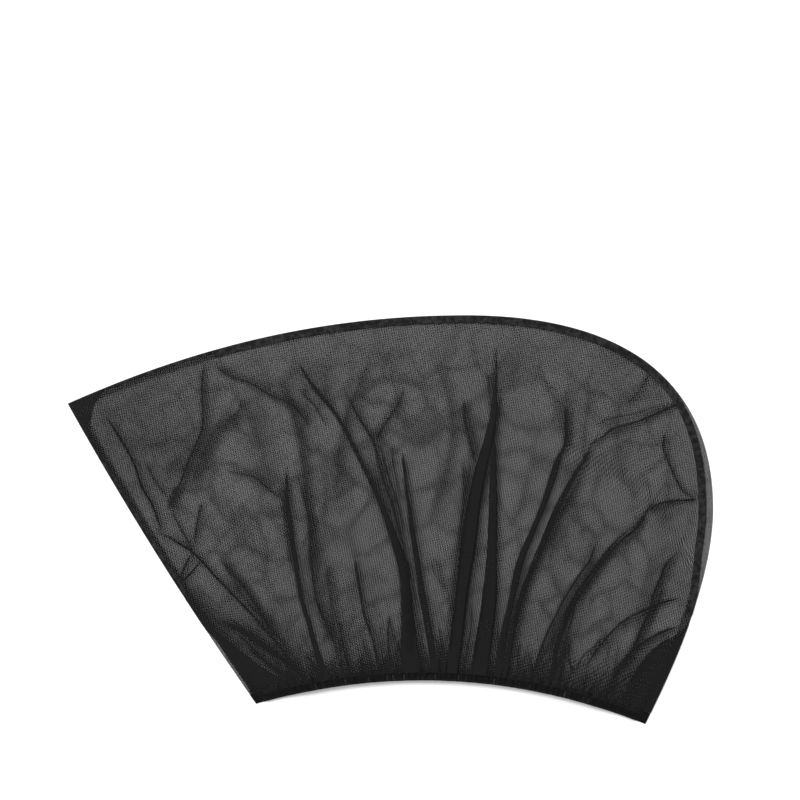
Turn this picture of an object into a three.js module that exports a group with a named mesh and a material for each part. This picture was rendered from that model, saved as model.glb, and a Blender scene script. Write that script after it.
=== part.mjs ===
import * as THREE from 'three';

// Slip-over sunshade for a car's side window: two panels of fine mesh cloth, sewn together round
// three sides and gathered on a loop of elastic at the open bottom. It lies flat, front panel up,
// with its mouth towards -Y. Lengths are in millimetres, +Z is up, and the origin lies under the
// middle of the shade's box, on the surface it rests on.

const { clamp, smoothstep, lerp, degToRad } = THREE.MathUtils;

// Outline: the point is the sharp top corner, the round side is opposite it
const shadeLength = 826; // from the point to the fullest place of the round side
const shadeHeight = 523; // from the round end of the hem to the crest of the top edge
const crestFromPoint = 509;
const pointBelowCrest = 113;
const bulgeBelowCrest = 247;
const hemFromPoint = 241;
const hemFromBulge = 87;
const hemPointRise = 26; // how much higher the hem ends under the point
const hemArch = 43;
const pointSideBow = 6;
const topEdgeAngle = 24; // degrees, where the top edge leaves the point
const roundSideAngle = 63.5; // degrees, where the round side leaves the hem
// How full each curve is: a handle's length as a share of the way to the curve's other end
const pointFullness = 0.334;
const crestFullness = 0.373;
const shoulderFullness = 0.635;
const bulgeFullness = 0.668;
const roundSideFullness = 0.31;

// Cloth and sewing
const clothThickness = 0.5;
const sewnGap = 0.3; // left between pieces that are sewn together
const seamAllowance = 9; // of the back panel alone, outside the tape at the bulge
const seamWidth = 24; // where the two panels lie on each other
const tapeWidth = 10;
const tapeThickness = 0.7;
const tapeStartFromPoint = 198;
const tapeEndAboveHem = 152;
const sideBindingWidth = 6;
const topBindingWidth = 4;
const bindingThickness = 0.6;
const patchThickness = 0.5;
const trimClearance = 2; // between the ends of patches, bindings and tape

// Hem, elastic and mouth
const casingHeight = 12.5;
const elasticWidth = 8;
const elasticThickness = 1;
const elasticSetBack = 27; // of the elastic's turns from the ends of the hem
const casingSetBack = 4; // of the casing's inner ply from those turns
const mouthGap = 4.8; // between the two casings, where the door's frame goes in
const mouthRun = 52; // length over which the mouth opens from its ends

// Gathers and folds
const gatherPitch = 16;
const gatherHeight = 1.2; // on the casing
const ruffleHeight = 2.6; // just above the casing
const ruffleFade = 62;
const innerRuffleHeight = 0.7;
const loftRun = 46; // length over which the front panel rises from its seams
const hemToLoft = 60;
const foldHeight = 4.4;
const foldHalfWidth = 10.5;
const backFoldHeight = 1.4;

// Each fold as places on the panel, as shares of the way along the hem from the point's end and
// of the way from the hem to the top, with its height as a share of foldHeight
const folds = [
  { height: 1, line: [[0.305, 0.93], [0.35, 0.71], [0.383, 0.48], [0.403, 0.3], [0.398, 0]] },
  { height: 0.6, line: [[0.275, 0.79], [0.235, 0.54], [0.205, 0.29], [0.185, 0]] },
  { height: 0.5, line: [[0.013, 0.58], [0.058, 0.47], [0.103, 0.29], [0.15, 0]] },
  { height: 0.5, line: [[0.18, 0.93], [0.158, 0.83], [0.085, 0.67]] },
  { height: 0.5, line: [[0.2, 0.93], [0.245, 0.86], [0.305, 0.72]] },
  { height: 0.6, line: [[0.42, 0.72], [0.432, 0.43], [0.46, 0]] },
  { height: 1, line: [[0.535, 0.86], [0.553, 0.62], [0.525, 0.36], [0.505, 0]] },
  { height: 0.9, line: [[0.573, 0.67], [0.574, 0.36], [0.568, 0]] },
  { height: 0.8, line: [[0.676, 0.84], [0.665, 0.64], [0.625, 0.35], [0.612, 0]] },
  { height: 0.8, line: [[0.8, 0.88], [0.715, 0.72], [0.667, 0.46], [0.637, 0.2], [0.64, 0]] },
  { height: 0.8, line: [[0.9, 0.75], [0.82, 0.57], [0.748, 0.29], [0.728, 0]] },
  { height: 0.5, line: [[0.96, 0.5], [0.863, 0.29], [0.79, 0]] },
  { height: 0.5, line: [[0.9, 0.47], [0.885, 0.24], [0.88, 0]] },
];

// Patches, along the edges that meet at their corner
const pointPatchAlongTop = 62;
const pointPatchAlongSide = 76;
const hemPointPatchAlongSide = 166;
const hemPointPatchAlongHem = 54;
const roundPatchAlongSide = 139;
const roundPatchAlongInside = 96;
const roundPatchWidth = 36;
const patchHollow = 0.64; // under 1 the patch's free edge is hollow

// Corners and edges of the outline, seen from above
const point = new THREE.Vector2(-shadeLength / 2, shadeHeight / 2 - pointBelowCrest);
const crest = new THREE.Vector2(point.x + crestFromPoint, shadeHeight / 2);
const bulge = new THREE.Vector2(shadeLength / 2, shadeHeight / 2 - bulgeBelowCrest);
const hemPointEnd = new THREE.Vector2(point.x + hemFromPoint, -shadeHeight / 2 + hemPointRise);
const hemRoundEnd = new THREE.Vector2(bulge.x - hemFromBulge, -shadeHeight / 2);

const toward = (from, angle, length) =>
  new THREE.Vector2(Math.cos(angle), Math.sin(angle)).multiplyScalar(length).add(from);

function bowedLine(from, to, bow) {
  const middle = from.clone().add(to).multiplyScalar(0.5);
  const way = to.clone().sub(from).normalize();
  const control = middle.add(new THREE.Vector2(-way.y, way.x).multiplyScalar(2 * bow));
  return new THREE.QuadraticBezierCurve(from, control, to);
}

const pointToCrest = crestFromPoint;
const crestToBulge = bulge.x - crest.x;
const pointSide = bowedLine(hemPointEnd, point, pointSideBow);
const topEdge = new THREE.CubicBezierCurve(
  point,
  toward(point, degToRad(topEdgeAngle), pointFullness * pointToCrest),
  toward(crest, Math.PI, crestFullness * pointToCrest),
  crest,
);
const shoulder = new THREE.CubicBezierCurve(
  crest,
  toward(crest, 0, shoulderFullness * crestToBulge),
  toward(bulge, Math.PI / 2, bulgeFullness * bulgeBelowCrest),
  bulge,
);
const sideHandle = roundSideFullness * hemRoundEnd.distanceTo(bulge);
const roundSide = new THREE.CubicBezierCurve(
  hemRoundEnd,
  toward(hemRoundEnd, degToRad(roundSideAngle), sideHandle),
  toward(bulge, -Math.PI / 2, sideHandle),
  bulge,
);
const topPath = new THREE.CurvePath();
topPath.add(topEdge);
topPath.add(shoulder);

// The hem is an arc through its two ends
function archedHem() {
  const chord = hemRoundEnd.clone().sub(hemPointEnd);
  const radius = (chord.lengthSq() / 4 + hemArch ** 2) / (2 * hemArch);
  const up = new THREE.Vector2(-chord.y, chord.x).normalize();
  const centre = hemPointEnd.clone().add(hemRoundEnd).multiplyScalar(0.5);
  centre.addScaledVector(up, hemArch - radius);
  const angleOf = (end) => Math.atan2(end.y - centre.y, end.x - centre.x);
  return new THREE.EllipseCurve(
    centre.x, centre.y, radius, radius, angleOf(hemPointEnd), angleOf(hemRoundEnd), true,
  );
}
const hem = archedHem();
const hemLength = hem.getLength();

// The sewn edge as one run: up the point side, along the top, and down the round side
const pointSideLength = pointSide.getLength();
const topLength = topPath.getLength();
const roundSideLength = roundSide.getLength();
const sewnLength = pointSideLength + topLength + roundSideLength;

function sewnPoint(along) {
  const onTop = along - pointSideLength;
  if (onTop < 0) return pointSide.getPointAt(clamp(along / pointSideLength, 0, 1));
  if (onTop <= topLength) return topPath.getPoint(clamp(onTop / topLength, 0, 1));
  return roundSide.getPointAt(clamp(1 - (onTop - topLength) / roundSideLength, 0, 1));
}

// The back panel's free allowance grows round the shoulder and ends above the round side's foot
const allowanceStart = pointSideLength + 0.78 * topLength;
const allowanceFull = pointSideLength + topLength;
const allowanceFade = allowanceFull + 0.15 * roundSideLength;
const allowanceEnd = allowanceFull + 0.5 * roundSideLength;
function freeAllowance(along) {
  const grown = smoothstep(along, allowanceStart, allowanceFull);
  return seamAllowance * grown * (1 - smoothstep(along, allowanceFade, allowanceEnd));
}

// A place at some distance inside the sewn edge
function insideEdge(along, inset) {
  const step = 1;
  const before = sewnPoint(Math.max(along - step, 0));
  const after = sewnPoint(Math.min(along + step, sewnLength));
  const way = after.sub(before).normalize();
  return sewnPoint(along).add(new THREE.Vector2(way.y, -way.x).multiplyScalar(inset));
}

// Places on a panel: u runs along the hem from the point's end, v from the hem to the top
function panelPlace(u, v, inset) {
  const onEdge = (along) => insideEdge(along, inset * freeAllowance(along));
  const onTop = onEdge(pointSideLength + u * topLength);
  const onRound = onEdge(allowanceFull + (1 - v) * roundSideLength);
  const topEnd = onEdge(allowanceFull);
  const place = hem.getPointAt(u).multiplyScalar(1 - v);
  place.addScaledVector(onTop, v);
  place.addScaledVector(pointSide.getPointAt(clamp(v, 0, 1)), 1 - u);
  place.addScaledVector(onRound, u);
  place.addScaledVector(hemPointEnd, -(1 - u) * (1 - v));
  place.addScaledVector(hemRoundEnd, -u * (1 - v));
  place.addScaledVector(point, -(1 - u) * v);
  return place.addScaledVector(topEnd, -u * v);
}

const panelRise = (u) => hem.getPointAt(u).distanceTo(topPath.getPoint(u));

// The least distance from a place to a line of places
function distanceTo(place, line) {
  const at = new THREE.Vector3(place.x, place.y, 0);
  const nearest = new THREE.Vector3();
  let least = Infinity;
  for (let i = 1; i < line.length; i++) {
    new THREE.Line3(line[i - 1], line[i]).closestPointToPoint(at, true, nearest);
    least = Math.min(least, nearest.distanceTo(at));
  }
  return least;
}

const flat = (place) => new THREE.Vector3(place.x, place.y, 0);
const edgeSteps = 120;
const sewnEdge = Array.from({ length: edgeSteps + 1 }, (_, i) => flat(sewnPoint((i / edgeSteps) * sewnLength)));
const foldLines = folds.map(({ height, line }) => ({
  height,
  line: line.map(([u, v]) => flat(panelPlace(u, v, 0))),
}));

// Heights of the cloth's middle, from the surface that the shade lies on
const backLevel = clothThickness / 2;
const ply = clothThickness + sewnGap;
const seamLevel = backLevel + ply;
const casingDepth = elasticThickness + 2 * sewnGap + clothThickness;
const closedLevel = backLevel + 2 * casingDepth + ply;
const openLevel = closedLevel + innerRuffleHeight - sewnGap + mouthGap;
const loftLevel = openLevel - casingDepth;
const cornerSeam = seamWidth / 3;
const cornerRun = seamWidth / 2.4;

// How high the folds stand at a place, as a share of foldHeight
function foldsAt(place) {
  let highest = 0;
  for (const { height, line } of foldLines) {
    const off = clamp(distanceTo(place, line) / foldHalfWidth, 0, 1);
    highest = Math.max(highest, height * (1 - off * off) ** 2);
  }
  return highest;
}

// Share of full height that folds and gathers have beside the seams
const awayFromSeams = (place) =>
  smoothstep(distanceTo(place, sewnEdge), seamWidth, seamWidth + loftRun);

const fromHemEnd = (u) => Math.min(u, 1 - u) * hemLength;

// The mouth's two plies part as they leave the ends of the hem
function mouthLevel(u) {
  const along = fromHemEnd(u);
  const parted = smoothstep(along, cornerSeam, cornerSeam + cornerRun);
  const opened = smoothstep(along, elasticSetBack - casingSetBack, elasticSetBack + mouthRun);
  return seamLevel + (closedLevel - seamLevel) * parted + (openLevel - closedLevel) * opened;
}

const gatherShare = (u) => smoothstep(fromHemEnd(u), elasticSetBack, elasticSetBack + mouthRun);

function frontLevel(u, height, place, crestOfGather) {
  const inner = seamLevel + (loftLevel - seamLevel) * awayFromSeams(place);
  const level = lerp(mouthLevel(u), inner, smoothstep(height, casingHeight, casingHeight + hemToLoft));
  const ruffled = ruffleHeight * gatherShare(u) * (1 - smoothstep(height, casingHeight, ruffleFade));
  const folded = foldHeight * foldsAt(place) * awayFromSeams(place);
  return level + folded * smoothstep(height, 0, hemToLoft) + crestOfGather * ruffled;
}

function backLevelAt(u, height, place, crestOfGather) {
  const share = awayFromSeams(place) * smoothstep(height, casingHeight, casingHeight + hemToLoft);
  return backLevel + backFoldHeight * foldsAt(place) * share * (1 - 0.5 * crestOfGather);
}

// A closed sheet from rows of sections. Each section is a list of pairs, the two faces' vertices
function sheetGeometry(sections, wraps = false) {
  const rows = sections[0].length;
  const positions = sections.flat(2).flatMap((vertex) => vertex.toArray());
  const index = [];
  const at = (section, row, face) => ((section % sections.length) * rows + row) * 2 + face;
  const quad = (a, b, c, d) => index.push(a, b, c, a, c, d);
  const spans = wraps ? sections.length : sections.length - 1;
  for (let i = 0; i < spans; i++) {
    for (let k = 0; k < rows - 1; k++) {
      quad(at(i, k, 0), at(i + 1, k, 0), at(i + 1, k + 1, 0), at(i, k + 1, 0));
      quad(at(i, k, 1), at(i, k + 1, 1), at(i + 1, k + 1, 1), at(i + 1, k, 1));
    }
    quad(at(i, 0, 1), at(i + 1, 0, 1), at(i + 1, 0, 0), at(i, 0, 0));
    quad(at(i, rows - 1, 0), at(i + 1, rows - 1, 0), at(i + 1, rows - 1, 1), at(i, rows - 1, 1));
  }
  if (!wraps) {
    for (let k = 0; k < rows - 1; k++) {
      quad(at(0, k, 0), at(0, k + 1, 0), at(0, k + 1, 1), at(0, k, 1));
      quad(at(spans, k, 1), at(spans, k + 1, 1), at(spans, k + 1, 0), at(spans, k, 0));
    }
  }
  const geometry = new THREE.BufferGeometry();
  geometry.setAttribute('position', new THREE.Float32BufferAttribute(positions, 3));
  geometry.setIndex(index);
  geometry.computeVertexNormals();
  return geometry;
}

// Directions square to a section's line, in its own plane of height on the panel and level
function squareTo(section) {
  return section.map((_, k) => {
    const before = section[Math.max(k - 1, 0)];
    const after = section[Math.min(k + 1, section.length - 1)];
    return new THREE.Vector2(before.level - after.level, after.height - before.height).normalize();
  });
}

// A vertex beside a section's line, at a distance along its square direction
function beside(station, square, distance, inset) {
  const v = (station.height + square.x * distance) / panelRise(station.u);
  const place = panelPlace(station.u, v, inset);
  return new THREE.Vector3(place.x, place.y, station.level + square.y * distance);
}

function clothGeometry(sections, inset, thickness, lift = 0) {
  return sheetGeometry(sections.map((section) => {
    const squares = squareTo(section);
    return section.map((station, k) => [
      beside(station, squares[k], lift + thickness / 2, inset),
      beside(station, squares[k], lift - thickness / 2, inset),
    ]);
  }));
}

// Columns run from the hem to the top, two for each gather
const gathers = Math.round(hemLength / gatherPitch);
const columns = 2 * gathers;
const columnPitch = hemLength / columns;
const isCrest = (column) => column % 2;

// Heights of a panel's rows above the casing, and below the top edge
const aboveCasing = [3, 15, 34, ruffleFade, 95];
const belowTop = [seamWidth + loftRun, seamWidth + loftRun / 2, seamWidth, 0];
function panelHeights(u, middleRows) {
  const rise = panelRise(u);
  const lowest = casingHeight + aboveCasing.at(-1);
  const highest = rise - belowTop[0];
  const middle = Array.from({ length: middleRows }, (_, i) => lerp(lowest, highest, (i + 1) / (middleRows + 1)));
  return [...aboveCasing.map((height) => casingHeight + height), ...middle, ...belowTop.map((drop) => rise - drop)];
}

// The casing is the panel's own cloth, turned over at the hem: its inner ply, the turn, its outer
// ply. The inner ply is cut short of the hem's ends, so its first columns lie closer together
const turnHeight = clothThickness;
const stitchDip = casingDepth - ply;
const casingSlope = 2.2;
const innerPlyStart = (elasticSetBack + casingSetBack) / hemLength;

function innerPlyPlace(u) {
  if (u > 0.5) return 1 - innerPlyPlace(1 - u);
  return Math.max(u, innerPlyStart + u / 2);
}

function casingSection(u, side, outerLevel, innerRuffle, outerRuffle) {
  const innerU = innerPlyPlace(u);
  const along = fromHemEnd(u);
  const innerLevel = outerLevel(innerU) - side * casingDepth + innerRuffle;
  const outer = outerLevel(u) + outerRuffle;
  const turned = casingDepth * smoothstep(along, cornerSeam, cornerSeam + cornerRun);
  const dip = side * stitchDip * smoothstep(along, elasticSetBack, elasticSetBack + cornerRun);
  return [
    { u: innerU, height: casingHeight, level: side > 0 ? innerLevel : innerLevel - stitchDip },
    { u: innerU, height: casingHeight - casingSlope, level: innerLevel },
    { u: innerU, height: casingDepth / 2, level: innerLevel },
    { u, height: turnHeight, level: outer - (side * turned) / 2 },
    { u, height: casingDepth / 2, level: outer },
    { u, height: casingHeight - casingSlope, level: outer },
    { u, height: casingHeight, level: side > 0 ? outer - dip : outer },
  ];
}

const frontMiddleRows = 5;
const frontSections = Array.from({ length: columns + 1 }, (_, column) => {
  const u = column / columns;
  const ruffle = gatherHeight * gatherShare(u) * isCrest(column);
  const casing = casingSection(u, 1, mouthLevel, 0, ruffle);
  const panel = panelHeights(u, frontMiddleRows).map((height) => {
    const place = panelPlace(u, height / panelRise(u), 1);
    return { u, height, level: frontLevel(u, height, place, isCrest(column)) };
  });
  return [...casing, ...panel];
});

const backMiddleRows = 1;
const backSections = Array.from({ length: columns + 1 }, (_, column) => {
  const u = column / columns;
  const ruffle = innerRuffleHeight * gatherShare(u) * isCrest(column);
  const casing = casingSection(u, -1, () => backLevel, ruffle, 0);
  const panel = panelHeights(u, backMiddleRows).map((height) => {
    const place = panelPlace(u, height / panelRise(u), 0);
    return { u, height, level: backLevelAt(u, height, place, isCrest(column)) };
  });
  return [...casing, ...panel];
});

// The elastic runs through the front casing, turns at its end, and comes back through the other
function elasticGeometry() {
  const backElastic = backLevel + casingDepth / 2;
  const frontElastic = (u) => mouthLevel(u) - casingDepth / 2;
  const turnU = elasticSetBack / hemLength;
  const runSteps = Math.round(columns / 2);
  const turnSteps = 6;
  const stations = [];
  for (let i = 0; i <= runSteps; i++) {
    const u = lerp(turnU, 1 - turnU, i / runSteps);
    stations.push({ u, level: frontElastic(u), tilt: 0 });
  }
  const turn = (u, out) => {
    const top = frontElastic(u);
    const radius = (top - backElastic) / 2;
    for (let i = 1; i < turnSteps; i++) {
      const tilt = (out > 0 ? i : turnSteps - i) * (Math.PI / turnSteps);
      const reach = (out * radius * Math.sin(tilt)) / hemLength;
      stations.push({ u: u + reach, level: backElastic + radius + radius * Math.cos(tilt), tilt: out * tilt });
    }
  };
  turn(1 - turnU, 1);
  for (let i = runSteps; i >= 0; i--) {
    stations.push({ u: lerp(turnU, 1 - turnU, i / runSteps), level: backElastic, tilt: Math.PI });
  }
  turn(turnU, -1);
  const low = (casingHeight - casingSlope + clothThickness - elasticWidth) / 2;
  return sheetGeometry(stations.map(({ u, level, tilt }) => [low, low + elasticWidth].map((height) => {
    const half = elasticThickness / 2;
    return [half, -half].map((off) => {
      const shifted = u + (off * Math.sin(tilt)) / hemLength;
      const place = panelPlace(shifted, height / panelRise(shifted), 1);
      return new THREE.Vector3(place.x, place.y, level + off * Math.cos(tilt));
    });
  })), true);
}

// A flat strip sewn on the seam, from one distance along the sewn edge to another
const trimBottom = seamLevel + clothThickness / 2 + sewnGap;
function stripGeometry(from, to, width, thickness, insetAt) {
  const steps = Math.ceil((to - from) / 15);
  return sheetGeometry(Array.from({ length: steps + 1 }, (_, i) => {
    const along = lerp(from, to, i / steps);
    return [width, 0].map((across) => {
      const place = insideEdge(along, insetAt(along) + across);
      return [thickness, 0].map((up) => new THREE.Vector3(place.x, place.y, trimBottom + up));
    });
  }));
}

// A patch lies on the front panel's own columns, between two heights on each
function patchGeometry(firstColumn, lastColumn, lowAt, highAt) {
  const lift = (clothThickness + patchThickness) / 2 + sewnGap;
  const firstRow = frontSections[0].length - panelHeights(0, frontMiddleRows).length;
  const cut = [];
  for (let column = firstColumn; column <= lastColumn; column++) {
    cut.push(frontSections[column].slice(firstRow));
  }
  const levelOn = (section, height) => {
    const above = clamp(section.findIndex((station) => station.height >= height), 1, section.length - 1);
    const [a, b] = [section[above - 1], section[above]];
    return lerp(a.level, b.level, (height - a.height) / (b.height - a.height));
  };
  const rows = 8;
  return clothGeometry(cut.map((section, i) => {
    const low = Math.max(lowAt(i), section[0].height);
    const high = Math.min(highAt(i), section.at(-1).height);
    return Array.from({ length: rows + 1 }, (_, k) => {
      const height = lerp(low, high, k / rows);
      return { u: section[0].u, height, level: levelOn(section, height) };
    });
  }), 1, patchThickness, lift);
}

const hollow = (share) => (1 - clamp(share, 0, 1) ** patchHollow) ** (1 / patchHollow);

const topPitch = topLength / columns;
const pointPatchColumns = Math.max(Math.round(pointPatchAlongTop / topPitch), 1);
function pointPatchGeometry() {
  const last = pointPatchColumns;
  const topOf = (i) => frontSections[i].at(-1).height;
  const narrow = 3;
  const depth = (i) => Math.max(pointPatchAlongSide * hollow(i / last), narrow);
  return patchGeometry(0, last, (i) => topOf(i) - depth(i), topOf);
}

const patchFoot = casingHeight + aboveCasing[0];
function hemPointPatchGeometry() {
  const last = Math.max(Math.round(hemPointPatchAlongHem / columnPitch), 1);
  const narrow = 6;
  const reach = (i) => Math.max((hemPointPatchAlongSide - patchFoot) * hollow(i / last), narrow);
  return patchGeometry(0, last, () => patchFoot, (i) => patchFoot + reach(i));
}

function roundPatchGeometry() {
  const count = Math.max(Math.round(roundPatchWidth / columnPitch), 1);
  const top = (i) => lerp(roundPatchAlongInside, roundPatchAlongSide, i / count);
  return patchGeometry(columns - count, columns, () => patchFoot, top);
}

const meshCloth = { color: 0x2e2e2f, roughness: 0.85, metalness: 0, side: THREE.DoubleSide };
const denseCloth = { color: 0x1f1f20, roughness: 0.8, metalness: 0 };
const tapeWeave = { color: 0x19191a, roughness: 0.75, metalness: 0 };
const elasticWeave = { color: 0x242425, roughness: 0.7, metalness: 0 };

const shade = new THREE.Group();
function add(name, geometry, finish) {
  const piece = new THREE.Mesh(geometry, new THREE.MeshStandardMaterial(finish));
  piece.name = name;
  shade.add(piece);
}

const tapeStart = pointSideLength + tapeStartFromPoint;
const tapeEnd = sewnLength - tapeEndAboveHem;
const atEdge = () => 0;
add('front_panel', clothGeometry(frontSections, 1, clothThickness), meshCloth);
add('back_panel', clothGeometry(backSections, 0, clothThickness), meshCloth);
add('elastic_band', elasticGeometry(), elasticWeave);
add('seam_tape', stripGeometry(tapeStart, tapeEnd, tapeWidth, tapeThickness, freeAllowance), tapeWeave);
add(
  'point_side_binding',
  stripGeometry(
    hemPointPatchAlongSide + trimClearance,
    pointSideLength - pointPatchAlongSide - trimClearance,
    sideBindingWidth,
    bindingThickness,
    atEdge,
  ),
  tapeWeave,
);
add(
  'point_top_binding',
  stripGeometry(
    pointSideLength + pointPatchColumns * topPitch + trimClearance,
    tapeStart - trimClearance,
    topBindingWidth,
    bindingThickness,
    atEdge,
  ),
  tapeWeave,
);
add('point_patch', pointPatchGeometry(), denseCloth);
add('hem_point_patch', hemPointPatchGeometry(), denseCloth);
add('hem_round_patch', roundPatchGeometry(), denseCloth);

export default shade;
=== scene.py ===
import math

import bpy
import numpy as np
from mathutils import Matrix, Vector, noise


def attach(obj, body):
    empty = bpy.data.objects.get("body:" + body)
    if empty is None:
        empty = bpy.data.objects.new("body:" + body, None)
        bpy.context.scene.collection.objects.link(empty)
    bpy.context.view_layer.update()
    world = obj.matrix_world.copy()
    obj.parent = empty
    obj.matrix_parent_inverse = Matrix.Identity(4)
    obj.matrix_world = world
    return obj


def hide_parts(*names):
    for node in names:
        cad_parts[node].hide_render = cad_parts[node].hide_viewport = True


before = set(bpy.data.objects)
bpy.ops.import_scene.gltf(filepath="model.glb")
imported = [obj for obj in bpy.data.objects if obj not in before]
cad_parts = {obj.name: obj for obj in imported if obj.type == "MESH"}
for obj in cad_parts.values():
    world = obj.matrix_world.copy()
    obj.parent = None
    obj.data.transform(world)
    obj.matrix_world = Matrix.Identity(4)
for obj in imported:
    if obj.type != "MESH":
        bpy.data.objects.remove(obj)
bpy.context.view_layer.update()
millimetre = 0.001
print("frame loaded:", len(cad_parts), "solids")


# The shade's outline, in millimetres, as in the solids
outline = {
    "length": 826, "height": 523,
    "crestFromPoint": 509, "pointBelowCrest": 113, "bulgeBelowCrest": 247,
    "hemFromPoint": 241, "hemFromBulge": 87, "hemPointRise": 26, "hemArch": 43,
    "pointSideBow": 6, "topEdgeAngle": 24, "roundSideAngle": 63.5,
    "pointFullness": 0.334, "crestFullness": 0.373,
    "shoulderFullness": 0.635, "bulgeFullness": 0.668, "roundSideFullness": 0.31,
    "freeAllowance": 9,  # of the back panel, outside the tape at the bulge
    "lowerAllowance": 4,  # the same beside the lower patch
    "lowerAllowanceRuns": (4, 26, 88, 124),  # where it begins, is full, ends and is gone, from the hem
    "casingHeight": 12.5, "mouthRun": 52, "elasticSetBack": 27,
    "seamWidth": 24, "loftRun": 46, "hemToLoft": 60,
    "backLevel": 0.25, "seamLevel": 1.05, "closedLevel": 5.25,
    "openLevel": 10.45, "loftLevel": 8.35,
}


def smooth(value, low, high):
    t = np.clip((np.asarray(value, float) - low) / (high - low), 0, 1)
    return t * t * (3 - 2 * t)


class Path:  # a line seen from above, read by the distance along it
    def __init__(self, *runs):
        points = [np.asarray(runs[0], float)] + [np.asarray(run, float)[1:] for run in runs[1:]]
        self.points = np.concatenate(points)
        steps = np.hypot(*np.diff(self.points, axis=0).T)
        self.run = np.concatenate([[0], np.cumsum(steps)])
        self.length = self.run[-1]

    def at(self, distance):
        return np.stack([np.interp(distance, self.run, self.points[:, k]) for k in (0, 1)], -1)


def bezier(*corners, count=300):
    t = np.linspace(0, 1, count)[:, None]
    degree = len(corners) - 1
    parts = [math.comb(degree, k) * t**k * (1 - t) ** (degree - k) * corners[k] for k in range(degree + 1)]
    return sum(parts)


def toward(start, angle, reach):
    return start + reach * np.array([math.cos(math.radians(angle)), math.sin(math.radians(angle))])


point = np.array([-outline["length"] / 2, outline["height"] / 2 - outline["pointBelowCrest"]])
crest = np.array([point[0] + outline["crestFromPoint"], outline["height"] / 2])
bulge = np.array([outline["length"] / 2, outline["height"] / 2 - outline["bulgeBelowCrest"]])
hemPointEnd = np.array([point[0] + outline["hemFromPoint"], -outline["height"] / 2 + outline["hemPointRise"]])
hemRoundEnd = np.array([bulge[0] - outline["hemFromBulge"], -outline["height"] / 2])


def bowedSide():
    way = (point - hemPointEnd) / np.hypot(*(point - hemPointEnd))
    middle = (point + hemPointEnd) / 2 + 2 * outline["pointSideBow"] * np.array([-way[1], way[0]])
    return Path(bezier(hemPointEnd, middle, point))


def topAndShoulder():
    across, down = bulge[0] - crest[0], crest[1] - bulge[1]
    reach = outline["crestFromPoint"]
    edge = bezier(
        point, toward(point, outline["topEdgeAngle"], outline["pointFullness"] * reach),
        crest - [outline["crestFullness"] * reach, 0], crest)
    shoulder = bezier(
        crest, crest + [outline["shoulderFullness"] * across, 0],
        bulge + [0, outline["bulgeFullness"] * down], bulge)
    return Path(edge, shoulder)


def roundedSide():
    handle = outline["roundSideFullness"] * np.hypot(*(bulge - hemRoundEnd))
    return Path(bezier(
        hemRoundEnd, toward(hemRoundEnd, outline["roundSideAngle"], handle),
        bulge - [0, handle], bulge))


def archedHem():
    chord = hemRoundEnd - hemPointEnd
    size = np.hypot(*chord)
    radius = (size**2 / 4 + outline["hemArch"] ** 2) / (2 * outline["hemArch"])
    up = np.array([-chord[1], chord[0]]) / size
    centre = (hemPointEnd + hemRoundEnd) / 2 + up * (outline["hemArch"] - radius)
    first, last = [math.atan2(*(end - centre)[::-1]) for end in (hemPointEnd, hemRoundEnd)]
    angles = np.linspace(first, last, 400)
    return Path(centre + radius * np.stack([np.cos(angles), np.sin(angles)], -1))


pointSide, topEdge, roundSide, hem = bowedSide(), topAndShoulder(), roundedSide(), archedHem()
sewnEdge = Path(pointSide.points, topEdge.points, roundSide.points[::-1])


def freeAllowance(along):
    start = pointSide.length + 0.78 * topEdge.length
    full = pointSide.length + topEdge.length
    fading = 1 - smooth(along, full + 0.15 * roundSide.length, full + 0.5 * roundSide.length)
    return outline["freeAllowance"] * smooth(along, start, full) * fading


def lowerAllowance(along):
    begins, full, ends, gone = outline["lowerAllowanceRuns"]
    return outline["lowerAllowance"] * smooth(along, begins, full) * (1 - smooth(along, ends, gone))


def insideEdge(along, inset):
    way = sewnEdge.at(np.minimum(along + 1, sewnEdge.length)) - sewnEdge.at(np.maximum(along - 1, 0))
    way = way / np.hypot(way[..., 0], way[..., 1])[..., None]
    return sewnEdge.at(along) + np.stack([way[..., 1], -way[..., 0]], -1) * np.asarray(inset)[..., None]


# u runs along the hem from the point's end and v from the hem to the top, both from 0 to 1
def panelPlace(u, v, inset=1):
    u, v = np.broadcast_arrays(np.asarray(u, float), np.asarray(v, float))
    full = pointSide.length + topEdge.length

    def edge(along):
        return insideEdge(along, inset * (freeAllowance(along) + lowerAllowance(along)))
    topEnd = edge(np.full_like(u, full))
    uu, vv = u[..., None], v[..., None]
    return (
        hem.at(u * hem.length) * (1 - vv) + edge(pointSide.length + u * topEdge.length) * vv
        + edge(np.clip(v, 0, 1) * pointSide.length) * (1 - uu)
        + edge(full + (1 - v) * roundSide.length) * uu
        - hemPointEnd * (1 - uu) * (1 - vv) - hemRoundEnd * uu * (1 - vv)
        - point * (1 - uu) * vv - topEnd * uu * vv)


def panelRise(u):  # from the hem to the top along a column
    return np.hypot(*np.moveaxis(hem.at(u * hem.length) - topEdge.at(u * topEdge.length), -1, 0))


gridSteps = np.linspace(0, 1, 241)
gridPlaces = panelPlace(gridSteps[:, None], gridSteps[None, :])


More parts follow.
